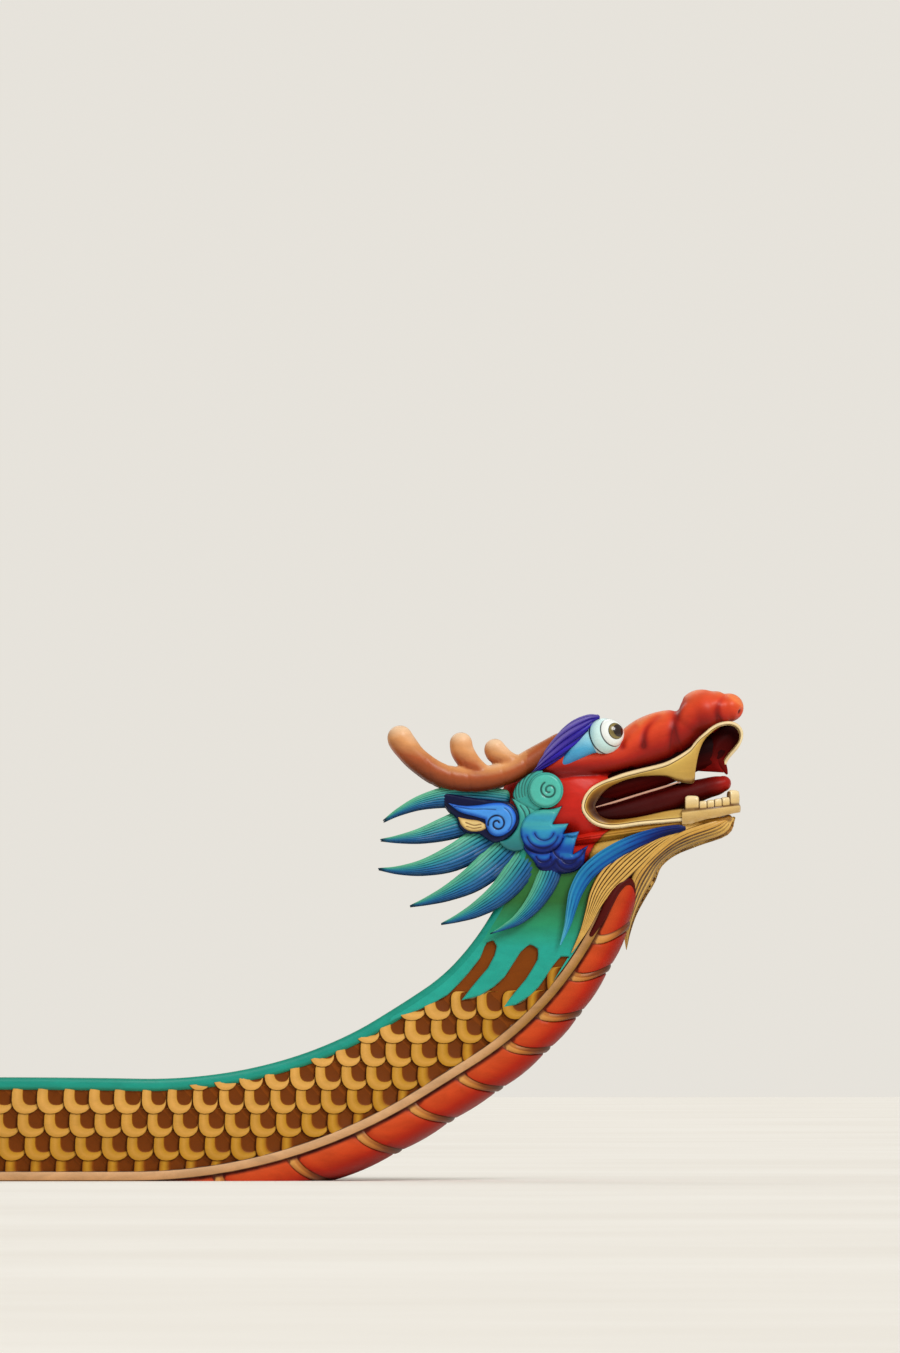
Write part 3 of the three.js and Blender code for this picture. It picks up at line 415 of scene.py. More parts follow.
# Columns: distance from amidships along the moulding, half breadth at the rail, half breadth
# at the moulding as a share of that, height of the rail, depth of the belly.
SECTIONS = np.array([
    [-5985, 60, 0.92, 128, 44], [-5850, 76, 0.92, 150, 54], [-5690, 98, 0.92, 182, 66],
    [-5540, 118, 0.92, 208, 78], [-5378, 138, 0.91, 235, 90], [-5228, 160, 0.9, 257, 98],
    [-5030, 194, 0.89, 284, 108], [-4790, 238, 0.88, 312, 120], [-4544, 284, 0.87, 334, 131],
    [-4300, 328, 0.86, 348, 138], [-3900, 384, 0.85, 352, 142], [-3400, 440, 0.85, 353, 144],
    [-2800, 490, 0.84, 353, 144], [-2000, 530, 0.84, 353, 144], [-1000, 553, 0.84, 353, 144],
    [0, 560, 0.84, 353, 144], [1000, 555, 0.84, 353, 144], [1900, 534, 0.84, 353, 144],
    [2700, 494, 0.84, 353, 144], [3300, 448, 0.85, 353, 144], [3700, 408, 0.85, 352, 144],
    [4000, 374, 0.86, 348, 144], [4272, 336, 0.87, 340, 144], [4543, 292, 0.88, 328, 144],
    [4815, 246, 0.88, 316, 143], [5086, 202, 0.89, 308, 141], [5302, 174, 0.9, 310, 138],
    [5432, 160, 0.9, 316, 134], [5562, 149, 0.91, 326, 129], [5692, 141, 0.92, 336, 122],
    [5822, 135, 0.92, 345, 114], [5952, 130, 0.93, 351, 106], [6083, 126, 0.93, 356, 99],
    [6170, 124, 0.93, 360, 95],
])
TAIL_END, NECK_END = SECTIONS[0, 0], SECTIONS[-1, 0]

# %% Places on the hull
def line_at(distance):
    """Where the moulding is, and how its own upward direction leans, at one distance."""
    side = -1 if distance < 0 else 1
    left, x, z, slope = abs(distance), 0.0, MOULDING_Z, 0.0
    for size, turn in STERN_LINE if side < 0 else BOW_LINE:
        length = size * math.radians(turn) if turn else size
        used = min(left, length)
        if turn:
            end = slope + used / size
            x += size * (math.sin(end) - math.sin(slope))
            z += size * (math.cos(slope) - math.cos(end))
            slope = end
        else:
            x += used * math.cos(slope)
            z += used * math.sin(slope)
        left -= used
        if left <= 0:
            break
    return distance, side * x, z, -side * slope


LINE = np.array([line_at(d) for d in np.arange(TAIL_END, NECK_END + 1, 5)])


def section(distance, column):
    """A column of the table of sections at any distances, on a smooth curve."""
    at, values = SECTIONS[:, 0], SECTIONS[:, column]
    if column == 2:
        values = values * SECTIONS[:, 1]
    rise = np.gradient(values, at)
    d = np.clip(distance, at[0], at[-1])
    i = np.clip(np.searchsorted(at, d) - 1, 0, len(at) - 2)
    gap = at[i + 1] - at[i]
    t = (d - at[i]) / gap
    start = (1 + 2 * t) * (1 - t) ** 2 * values[i] + t * (1 - t) ** 2 * gap * rise[i]
    return start + t * t * (3 - 2 * t) * values[i + 1] + t * t * (t - 1) * gap * rise[i + 1]


def half_at(d):
    return section(d, 1)


def low_at(d):
    return section(d, 2)


def rail_at(d):
    return section(d, 3)


def belly_at(d):
    return section(d, 4)


def plank_top(d):
    return rail_at(d) - RAIL_HEIGHT - GAP


def on_boat(distance, y, up):
    """Points in metres from a distance along the moulding, a breadth and a height above it."""
    x, z, lean = (np.interp(distance, LINE[:, 0], LINE[:, k]) for k in (1, 2, 3))
    return np.stack(np.broadcast_arrays(x + np.sin(lean) * up, y, z + np.cos(lean) * up), -1) * MM


def stops(start, end, step):
    """Even stops from start to end, about a step apart."""
    return np.linspace(start, end, max(2, round((end - start) / step) + 1))


LENGTHS = (("tail", TAIL_END, TAIL_JOINT), ("hull", TAIL_JOINT, NECK_JOINT),
           ("neck", NECK_JOINT, NECK_END))
print("the moulding climbs to", round(LINE[-1, 2]), "mm at the head")

# %% [markdown]
# ## Planking, rail and moulding
# The sides are planks 26 mm thick, bare wood inside and painted brown outside, where the
# scales lie on them. Each is a closed loop of points that runs the length of the boat, the
# way a shipwright lofts a plank. The rail and the moulding have half-round faces, because
# that is the shape that a plane leaves.

# %% Side planks
for place, start, end in LENGTHS:
    d = stops(start + GAP, end - GAP, 60)[:, None]
    v = np.array([0, 0.25, 0.5, 0.75, 1.0])
    up = MOULDING_TOP + GAP + (plank_top(d) - MOULDING_TOP - GAP) * v
    outer = low_at(d) + (half_at(d) - low_at(d)) * v
    y = np.hstack([outer, outer[:, ::-1] - PLANK])
    grid = on_boat(d, y, np.hstack([up, up[:, ::-1]]))
    paint = np.array([0, 0, 0, 0, 1, 1, 1, 1, 1, 1])
    piece = Piece()
    piece.solid(grid, paint=paint)
    piece.make_pair(f"planks_{place}", [GROUND_PAINT, INNER_WOOD], [f"{place}_side"])

# %% [markdown]
# The rail caps the planks all the way round, and the moulding hides the joint below them. A
# curve with a bevel profile could make both. Rows of points are used here, because each row
# also sets how dark the paint is in the grooves, and the painted highlight and shade across
# each rounded nose.

# %% Rail and moulding
def half_round(count):
    """How far out and how far up the points of a half circle are."""
    angle = np.linspace(-math.pi / 2, math.pi / 2, count)
    return np.cos(angle), np.sin(angle)


d = stops(TAIL_END, NECK_END, 40)[:, None]
out, rise = half_round(9)
middle = rail_at(d) - RAIL_HEIGHT / 2
nose_y = half_at(d) + RAIL_PROUD * (0.15 + 0.85 * out)
nose_up = middle + (RAIL_HEIGHT / 2) * rise
inner = half_at(d) - RAIL_WIDTH
y = np.hstack([inner, inner, nose_y, inner + 7, inner])
up = np.hstack([middle + 14, middle - 22, nose_up, middle + 22, middle + 17])
ink = np.zeros(y.shape)
ink[:, 2:3] = 0.9 * (d < COLLAR_START)
# the rail's nose is painted lightest where it stands out most, and darker towards its edges and on its
# inner side, as painted highlight and shade
tone = np.concatenate([[1, 1], 0.5 - 0.5 * out * (rise > -0.6), [0.6, 0.9]])
piece = Piece()
piece.solid(on_boat(d, y, up), tone, ink)
piece.make_pair("gunwale", [TEAL_PAINT], ["rail"])

nose_y = low_at(d) + MOULDING_PROUD * (0.3 + 0.7 * out**0.35)
inner = low_at(d) - PLANK
y = np.hstack([inner, nose_y, inner])
up = np.hstack([inner * 0 - 18, nose_y * 0 + MOULDING_TOP * rise, inner * 0 + 18])
ink = np.array([0, 1, 0.9, 0, 0, 0, 0, 0, 0.9, 1, 0])
# the moulding is painted lighter on its upper half and darker on its lower half, as painted light from
# above; towards the head it turns golden brown
tone = 0.3 - 0.3 * np.concatenate([[0], rise, [1]]) + np.interp(d, [5250, 5550], [0, 0.45])
piece = Piece()
piece.solid(on_boat(d, y, up), np.clip(tone, 0, 1), ink)
piece.make_pair("tan_moulding", [MOULDING_PAINT], ["moulding"])

# %% [markdown]
# ## The belly
# Below the moulding the belly is painted red and swells between gold rings, like a snake's
# underside. The rings could be separate hoops, but carved ones are one with the planks, so
# each stretch of belly is a single skin whose radius rises at a ring and swells between two.
# The gaps between the rings grow from the head aft, as they do on the real boat.

# %% Belly skins
RINGS_ON_NECK = (5930, 5776, 5600, 5442, 5242, 5038, 4828, 4574, 4304, 4050)
RING_GAP, RING_HALF, RING_PROUD, SWELL, RING_SWEEP = 262, 18, 7, 8, 92
BELLY_FULLNESS = 0.8


def ring_places():
    """Where the rings are, from the tail to the head: as in the table, and then evenly."""
    places = list(RINGS_ON_NECK)
    while places[-1] - RING_GAP > TAIL_END + 60:
        places.append(places[-1] - RING_GAP)
    return np.array(places[::-1], float)


RINGS = ring_places()

angle = np.linspace(0, math.pi, 31)
wide = np.sign(np.cos(angle)) * np.abs(np.cos(angle)) ** BELLY_FULLNESS
deep = np.sin(angle) ** BELLY_FULLNESS
top = -MOULDING_TOP - GAP
edges = np.array([-RING_HALF - 3, -RING_HALF, -RING_HALF * 0.5, 0])
edges = np.concatenate([edges, -edges[2::-1]])
for place, start, end in LENGTHS:
    start, end = start + GAP, end - GAP
    d = np.unique(np.concatenate([stops(start, end, 30), (RINGS[:, None] + edges).ravel()]))
    d = d[(d >= start) & (d <= end)]
    near = np.min(np.abs(d[:, None] - RINGS), axis=1)
    after = np.clip(np.searchsorted(RINGS, d), 1, len(RINGS) - 1)
    share = np.clip((d - RINGS[after - 1]) / (RINGS[after] - RINGS[after - 1]), 0, 1)
    ring = near <= RING_HALF
    proud = np.where(ring, RING_PROUD * np.sqrt(np.clip(1 - (near / RING_HALF) ** 2, 0, 1)),
                     SWELL * np.sin(math.pi * share) ** 0.6)
    fade = np.minimum(1, 4 * deep)
    lift = (proud[:, None] - 2) * fade
    c = d[:, None]
    outer_y = (low_at(c) + lift) * wide
    outer_up = top - (belly_at(c) + top + lift) * deep
    inside = slice(None, None, -3)
    inner_y = ((low_at(c) - PLANK) * wide)[:, inside]
    inner_up = (top - (belly_at(c) - PLANK + top) * deep)[:, inside]
    sweep = RING_SWEEP * np.clip(c / 1500, -1, 1) * np.clip((c - TAIL_END) / 200, 0, 1) * deep**1.8
    at = np.clip(np.hstack([c + sweep, (c + sweep)[:, inside]]), TAIL_END + GAP, NECK_END - GAP)
    grid = on_boat(at, np.hstack([outer_y, inner_y]), np.hstack([outer_up, inner_up]))
    # the belly is painted darker towards the keel, as painted shade, and just aft of each ring, as the
    # ring's painted shadow; the rings share this tone and darken the same way
    outer_tone = np.clip(0.1 + 0.8 * deep**2 + 0.3 * np.clip(1 - 5 * share[:, None], 0, 1), 0, 1)
    tone = np.hstack([outer_tone, outer_tone[:, inside] * 0])
    line = np.clip(1 - np.abs(near - RING_HALF - 1) / 3, 0, 1)[:, None] * np.ones(len(angle))
    # a dark band along the top of the belly is the painted shadow under the moulding
    line = np.maximum(line, np.clip(1 - deep * 9, 0, 1))
    middle = (d[1:] + d[:-1]) / 2
    on_ring = np.min(np.abs(middle[:, None] - RINGS), axis=1) < RING_HALF
    outside = np.arange(grid.shape[1]) < len(angle) - 1
    paint = np.where(outside, on_ring[:, None] * 1, 2)
    piece = Piece()
    piece.solid(grid, tone, np.hstack([line, line[:, inside] * 0]), paint)
    piece.make(f"belly_skin_{place}", [BELLY_PAINT, RING_PAINT, FLOOR_WOOD],
               [f"{place}_belly"])

# %% [markdown]
# ## Scales
# Each scale is a small carved plate. Its pale rim shows along the aft and lower edges, and the
# dark hollow centre fills the rest, because the next scale forward and the row above lap over
# it like roof tiles. One plate is worked out as rings of points and repeated in rows, which
# lie level on the climbing neck too, each shifted a little from the one below.

# %% One scale
SCALE_PITCH, ROW_PITCH, FIRST_ROW, ROW_SHIFT, SCALE_PROUD = 92, 84, 34, 22, 7
# Columns: share of the way from the dark centre's middle to its edge, and on to the plate's
# edge; height of the surface; tone; ink. On the rim the tone is lightest at its crest, a painted
# highlight.
SCALE_RINGS = np.array([
    [0.9, 1.2, 0.8, 0.0],
    [1.0, 2.0, 0.62, 0.2],
    [1.08, 4.8, 0.24, 0.0],
    [1.5, 5.6, 0.1, 0.0],
    [1.86, 5.0, 0.2, 0.0],
    [1.93, 4.0, 0.4, 1.0],
    [2.0, -5.0, 0.6, 1.0],
])


# How far the plate and its dark centre reach aft, forward, down and up from their middles, and
# how squared off their lower halves are: 1 is round.
PLATE, DARK_CENTRE = (48, 57, 49, 62, 0.94), (29, 31, 33, 40, 0.8)
CENTRE_MIDDLE = np.array([26.0, 20.0])


def squared_loop(aft, forward, down, up, power, count=20):
    """A circle squared off by a power below 1, with its own reach in each direction."""
    angle = np.linspace(0, 2 * math.pi, count, endpoint=False)
    powers = np.where(np.sin(angle) < 0, power, 0.6)
    x, z = (np.sign(v) * np.abs(v) ** powers for v in (np.cos(angle), np.sin(angle)))
    return np.stack([np.where(x < 0, aft, forward) * x, np.where(z < 0, down, up) * z], -1)


def scale_plate():
    """The plate's points as offsets forward, up and out, with its tone, ink and faces."""
    edge = squared_loop(*PLATE)
    core = squared_loop(*DARK_CENTRE) + CENTRE_MIDDLE
    # where the dark centre reaches the plate's edge there is no rim
    bare = np.linalg.norm(edge - core, axis=-1) < 12
    share = SCALE_RINGS[:, 0][:, None, None]
    inner = CENTRE_MIDDLE + (core - CENTRE_MIDDLE) * np.clip(share, 0, 1)
    flat = np.where(share <= 1, inner, core + (edge - core) * (share - 1))
    tilt = np.clip(SCALE_PROUD * (0.5 - flat[..., 1] / 100) - 0.075 * flat[..., 0], -3, 12)
    height = np.where(bare, np.minimum(SCALE_RINGS[:, 1:2], 1.2), SCALE_RINGS[:, 1:2])
    out = height + np.where(share[..., 0] < 2, tilt, 0)
    piece = Piece()
    piece.skin(np.stack([flat[..., 0], flat[..., 1], out], -1), around=True)
    tone = np.where(bare, np.maximum(SCALE_RINGS[:, 2:3], 0.8), SCALE_RINGS[:, 2:3]).ravel()
    ink = np.where(bare, 0, SCALE_RINGS[:, 3:4]).ravel()
    return np.vstack(piece.points), tone, ink, [list(range(len(edge)))] + piece.faces

# %% Rows of scales
def scale_centres(start, end):
    """Distance and height above the moulding of each scale between two distances, and x, z."""
    near = LINE[(LINE[:, 0] >= start - 60) & (LINE[:, 0] <= end + 60)]
    low, high = near[:, 2].min(), near[:, 2].max() + 420
    rows = np.arange(math.floor(low / ROW_PITCH), math.ceil(high / ROW_PITCH) + 1)
    aft, ahead = near[:, 1].min(), near[:, 1].max()
    columns = np.arange(math.floor(aft / SCALE_PITCH) - 6, math.ceil(ahead / SCALE_PITCH) + 6)
    row, column = (v.ravel() for v in np.meshgrid(rows, columns))
    x = column * SCALE_PITCH - row * ROW_SHIFT
    z = row * ROW_PITCH + FIRST_ROW
    found = np.argmin(np.hypot(x[:, None] - near[:, 1], z[:, None] - near[:, 2]), axis=1)
    along, lean = near[found, 0], near[found, 3]
    up = (x - near[found, 1]) * np.sin(lean) + (z - near[found, 2]) * np.cos(lean)
    keep = (along >= start) & (along < end) & (up > -14) & (up < plank_top(along) + 40)
    return np.stack([along, up, z, x], -1)[keep]


# Points x, z along which the collar ends; no scale is laid above them.
COLLAR_FOOT = [(5000, 600), (5066, 612), (5185, 684), (5318, 702), (5430, 702), (5534, 738), (5700, 760)]


def under_collar(x, z):
    foot = np.array(COLLAR_FOOT, float)
    return (x > 5030) & (z > np.interp(x, foot[:, 0], foot[:, 1]))


points, tone, ink, faces = scale_plate()
for place, start, end in LENGTHS:
    centres = scale_centres(start, end)
    centres = centres[~under_collar(centres[:, 3], centres[:, 2])]
    lean = np.interp(centres[:, 0], LINE[:, 0], LINE[:, 3])[:, None]
    forward, upward, out = (points[:, k][None] for k in range(3))
    along = centres[:, :1] + forward * np.cos(lean) - upward * np.sin(lean)
    up = centres[:, 1:2] + forward * np.sin(lean) + upward * np.cos(lean)
    lowest, highest = MOULDING_TOP - 4, plank_top(along) + 16
    hidden = (up <= lowest) | (up >= highest)
    up = np.clip(up, lowest, highest)
    share = (up - MOULDING_TOP) / (plank_top(along) - MOULDING_TOP)
    y = low_at(along) + (half_at(along) - low_at(along)) * share + out
    grid = on_boat(np.clip(along, TAIL_END, NECK_END), y, up)
    rise = np.clip(centres[:, 1:2] / plank_top(centres[:, :1]), 0, 1)
    tones = np.where(tone < 0.5, tone + 0.3 * (1 - rise), tone)
    piece = Piece()
    for index in range(len(centres)):
        shown = [face for face in faces if not hidden[index][face].all()]
        if shown:
            piece.add(grid[index], shown, tones[index], ink)
    piece.make_pair(f"scales_{place}", [SCALE_PAINT], sharp=60)

# %% [markdown]
# ## Tools for the carved head
# The head is a group of carvings fixed round a core. Long ones, such as the mane and the
# antlers, are limbs: rings of points along a smooth path, with grooves cut along them. Flat
# ones, such as the ear and the clouds, are reliefs: an outline filled with points whose
# height is carved. Where forms run into each other they are joined into one skin, as a carver
# would leave no seam.

# %% Limbs
HEAD = np.array([5534, 0, 1404])


def on_head(points):
    """Points given from HEAD in millimetres, in the boat's own metres."""
    return (np.asarray(points, float) + HEAD) * MM


def add_both(piece, grid, tone, ink, paint=0):
    """The same body on the port side and on the starboard side of the head."""
    for side in (1, -1):
        piece.solid(on_head(grid * [1, side, 1]), tone, ink, paint)


def unit(vectors):
    return vectors / np.linalg.norm(vectors, axis=-1, keepdims=True)


def rounded_end(rows):
    """The rows with a round cap after the last one."""
    turn = np.linspace(0, math.pi / 2, 7)[1:, None]
    ahead = unit(rows[-1, :3] - rows[-2, :3]) * rows[-1, 3:5].min()
    cap = np.hstack([rows[-1, :3] + ahead * np.sin(turn), rows[-1, 3:5] * np.cos(turn)])
    return np.vstack([rows, cap])


def strands(share, angle, count, twist=0.0):
    """Strands round a limb: 0 in the groove between two of them, and 1 on the middle of one."""
    return np.abs(np.sin(count * (angle + twist * share) / 2))


def grooves(count, depth, twist=0.0, wide=0.3):
    """Grooves along a limb: how much of its size is left, and the ink that lies in them."""
    def carve(share, angle):
        wave = strands(share, angle, count, twist)
        return 1 - depth * (1 - wave**0.5), np.clip(1 - wave / wide, 0, 1)
    return carve


def limb(rows, around=24, steps=6, start=False, end=False, carve=None):
    """Rings round a path. Rows: x, y, z, half width across and half depth, in millimetres.
    Gives the points, the share along the path, the angle round it and the ink."""
    rows = smooth_rows(rows, steps)
    rows = rounded_end(rows) if end else rows
    rows = rounded_end(rows[::-1])[::-1] if start else rows
    middle, half = rows[:, :3], np.maximum(rows[:, 3:5], 0.4)
    along = unit(np.gradient(middle, axis=0))
    across, side = [], np.array([0, 1.0, 0])
    for direction in along:
        side = unit(side - direction * (side @ direction))
        across.append(side)
    across = np.array(across)
    deep = np.cross(along, across)
    share, angle = np.meshgrid(np.linspace(0, 1, len(rows)),
                               np.linspace(0, 2 * math.pi, around, endpoint=False), indexing="ij")
    size, ink = carve(share, angle) if carve else (np.ones_like(share), np.zeros_like(share))
    offset = (across[:, None] * (half[:, :1] * np.cos(angle) * size)[..., None]
              + deep[:, None] * (half[:, 1:] * np.sin(angle) * size)[..., None])
    return middle[:, None] + offset, share, angle, ink

# %% Balls and beads
def ball(centre, radius, axis=(0, 1, 0), turns=None, around=36):
    """Rings round a ball from the tip of its axis, at the angles given by turns."""
    turns = np.linspace(0.04, math.pi - 0.04, 24) if turns is None else np.asarray(turns)
    axis = unit(np.array(axis, float))
    side = unit(np.cross(axis, (0.3, 0.1, 1.0)))
    up = np.cross(axis, side)
    angle = np.linspace(0, 2 * math.pi, around, endpoint=False)[:, None]
    ring = side * np.cos(angle) + up * np.sin(angle)
    ahead, out = np.cos(turns)[:, None, None], np.sin(turns)[:, None, None]
    return np.array(centre) + np.broadcast_to(radius, 3) * (axis * ahead + ring * out)

# %% [markdown]
# Where forms run into each other, a boolean union would keep a hard seam. A voxel remesh works
# like pressing wax forms together: it keeps their common outside, and a smooth modifier then
# softens the joints.

# %% One skin over several forms
def one_skin(forms, grain=4.5, passes=4):
    """The forms, a piece in millimetres, as one smooth skin: its points, faces and normals."""
    wax = bpy.data.objects.new("wax", forms.mesh("wax"))
    bpy.context.scene.collection.objects.link(wax)
    joined = wax.modifiers.new("joined", "REMESH")
    joined.mode, joined.voxel_size = "VOXEL", grain
    softer = wax.modifiers.new("softer", "SMOOTH")
    softer.factor, softer.iterations = 0.5, passes
    shown = wax.evaluated_get(bpy.context.evaluated_depsgraph_get())
    mesh = shown.to_mesh()
    points = np.empty(len(mesh.vertices) * 3)
    mesh.vertices.foreach_get("co", points)
    points = points.reshape(-1, 3)
    faces = [list(face.vertices) for face in mesh.polygons]
    normals = np.empty(points.size)
    mesh.vertex_normals.foreach_get("vector", normals)
    shown.to_mesh_clear()
    data = wax.data
    bpy.data.objects.remove(wax)
    bpy.data.meshes.remove(data)
    return points, faces, normals.reshape(-1, 3)

# %% Distance to a line
def distance_to(points, line, closed=False):
    """How far points in a plane are from a line through a few corners."""
    line = np.asarray(line, float)
    a = line if closed else line[:-1]
    b = np.roll(line, -1, 0) if closed else line[1:]
    run = b - a
    from_a = points[:, None] - a
    share = np.clip((from_a * run).sum(-1) / np.maximum((run**2).sum(-1), 1e-9), 0, 1)
    return np.linalg.norm(from_a - share[..., None] * run, axis=-1).min(1)

# %% [markdown]
# A relief starts as an outline. Points are scattered inside it, closer together along its edge
# and its carved lines, and joined into triangles. A plain grid would cut the pointed outlines
# into steps.

# %% Outlines filled with triangles
def outline(corners, step=5.0, sharp=50, closed=True):
    """A line through the corners, smooth except at corners that turn by more than sharp."""
    corners = np.asarray(corners, float)
    into, out = unit(corners - np.roll(corners, 1, 0)), unit(np.roll(corners, -1, 0) - corners)
    soft = ((into * out).sum(1) > math.cos(math.radians(sharp)))[:, None]
    if not closed:
        soft[0] = soft[-1] = False
    mean = unit(into + out + 1e-9)
    leaving, arriving = np.where(soft, mean, out), np.where(soft, mean, into)
    line = []
    for i in range(len(corners) if closed else len(corners) - 1):
        j = (i + 1) % len(corners)
        a, b = corners[i], corners[j]
        length = np.linalg.norm(b - a)
        t = (np.arange(max(1, round(length / step))) / max(1, round(length / step)))[:, None]
        line.append(a + (b - a) * (3 - 2 * t) * t * t + length * (
            leaving[i] * (t - 2 * t * t + t**3) + arriving[j] * (t**3 - t * t)))
    return np.vstack(line if closed else [*line, corners[-1:]])


def is_inside(points, loop):
    """Whether points in a plane are inside a loop, by counting the sides that they cross."""
    a, b = loop, np.roll(loop, -1, 0)
    x, z = points[:, :1], points[:, 1:]
    crosses = (a[:, 1] > z) != (b[:, 1] > z)
    rise = np.where(b[:, 1] == a[:, 1], 1e-9, b[:, 1] - a[:, 1])
    return (crosses & (x < a[:, 0] + (b[:, 0] - a[:, 0]) * (z - a[:, 1]) / rise)).sum(1) % 2 == 1


def filled(loop, step, edge, lines):
    """Triangles that fill a loop, finer along its edge and along the lines."""
    area = (loop[:, 0] * np.roll(loop[:, 1], -1) - np.roll(loop[:, 0], -1) * loop[:, 1]).sum()
    loop = loop if area > 0 else loop[::-1]
    tangent = unit(np.roll(loop, -1, 0) - np.roll(loop, 1, 0) + 1e-9)
    inward = np.stack([-tangent[:, 1], tangent[:, 0]], -1)
    insides = []
    for share in (0.1, 0.35, 0.7, 1.1):
        ring = loop + inward * edge * share
        insides.append(ring[distance_to(ring, loop, True) > edge * share * 0.8])
    for line in lines:
        line = outline(line, step * 0.8, closed=False)
        run = unit(np.gradient(line, axis=0))
        beside = np.stack([-run[:, 1], run[:, 0]], -1)
        insides += [line + beside * shift for shift in (-4.0, -1.5, 1.5, 4.0)]
    fine = np.vstack(insides)
    low, high = loop.min(0), loop.max(0)
    x, z = np.meshgrid(np.arange(low[0], high[0], step), np.arange(low[1], high[1], step * 0.866))
    x = x + (step / 2) * (np.arange(len(x)) % 2)[:, None]
    coarse = np.stack([x.ravel(), z.ravel()], -1)
    coarse = coarse[is_inside(coarse, loop)]
    coarse = coarse[distance_to(coarse, loop, True) > edge * 1.2]
    for line in lines:
        coarse = coarse[distance_to(coarse, line) > 5.0]
    fine = fine[is_inside(fine, loop)]
    fine = fine[distance_to(fine, loop, True) > 0.5]
    points = np.vstack([loop, fine, coarse])
    made = delaunay_2d_cdt([Vector(p) for p in points], [], [list(range(len(loop)))], 1, 0.2)
    return np.array([list(p) for p in made[0]]), [list(face) for face in made[2]], loop

# %% Reliefs
def relief(piece, corners, shape, back, step=6.0, edge=9.0, lines=(), paint=None, place=on_head,
           sharp=50):
    """A carved plate. Shape gives height along Y, tone and ink from points x, z and from their
    distance to the outline; back is the height of the plate's flat back."""
    flat, faces, loop = filled(outline(corners, 5.0, sharp), step, edge, lines)
    inward = distance_to(flat, loop, True)
    height, tone, ink = (np.broadcast_to(v, len(flat)) for v in shape(flat, inward))
    count = len(flat)
    behind = np.broadcast_to(back(flat) if callable(back) else back, count)
    points = np.vstack([np.stack([flat[:, 0], y, flat[:, 1]], -1) for y in (height, behind)])
    uses = {}
    for face in faces:
        for a, b in zip(face, face[1:] + face[:1]):
            uses.setdefault((min(a, b), max(a, b)), []).append((a, b))
    walls = [[b, a, a + count, b + count] for sides in uses.values() if len(sides) == 1 for a, b in sides]
    under = [[corner + count for corner in reversed(face)] for face in faces]
    middles = np.array([flat[face].mean(0) for face in faces])
    chosen = np.zeros(len(faces), int) if paint is None else np.asarray(paint(middles), int)
    paints = np.concatenate([chosen, np.full(len(walls) + len(under), chosen[0] if len(chosen) else 0)])
    piece.add(place(points), faces + walls + under, np.tile(tone, 2), np.tile(ink, 2), paints)


def rim(inward, edge):
    """A quarter-round edge, from 0 on the outline to 1 inside it."""
    return np.sqrt(1 - (1 - np.clip(inward / edge, 0, 1)) ** 2)


def lines_cut(flat, lines, wide=3.0):
    """How much of each point lies in a groove along the lines, from 0 to 1."""
    cut = np.zeros(len(flat))
    for line in lines:
        away = distance_to(flat, outline(line, 3.0, closed=False))
        cut = np.maximum(cut, np.exp(-(away / wide) ** 2))
    return cut


def arc(x, z, radius, start, end, turns=0.0, count=14):
    """Points on an arc, with angles in degrees; with turns it winds inwards as a spiral."""
    share = np.linspace(0, 1, count if not turns else 30)
    angle = np.radians(start + (end - start) * share)
    size = radius * (1 - turns * share)
    return np.stack([x + size * np.cos(angle), z + size * np.sin(angle)], -1)

# %% [markdown]
# ## The face
# The skull, the muzzle and the nose are one red form, swollen over the mouth. They are
# modelled as one skin, since on the carving the cheek runs into the muzzle without a joint.
# Creases are cut into the skin afterwards. The paint goes from orange on top of the nose, a
# painted highlight, to a dark red in the fold above the cheek, painted shade, and the creases
# are painted darker as shade too.

# %% The face's paints and forms
FACE_PAINT = painted(
    "face_paint", [(0.0, "#F08A4C"), (0.2, "#E25C30"), (0.4, "#D23E1E"), (0.54, "#A41C0E"),
    (0.66, "#6E0A06"), (0.8, "#B8180E"), (1.0, "#D02614")], ink="#4A0C06", rough=0.38, coat=0.05,
    worn_and_highlit="#F0A070", wear_and_highlight=0.1, shine=0.18)
SOCKET_PAINT = painted(
    "socket_paint", [(0.0, "#B8ECEE"), (0.45, "#4AA6D0"), (1.0, "#1A5CA4")], ink="#12304A",
    rough=0.3, coat=0.3)
# the mouth's paint runs to near black, for the painted shade deep inside the mouth
MOUTH_PAINT = painted(
    "mouth_paint", [(0.0, "#8C100C"), (0.4, "#4C0604"), (1.0, "#180102")], ink="#140204", rough=0.6,
    coat=0.0, wear_and_highlight=0.0, shine=0.05)

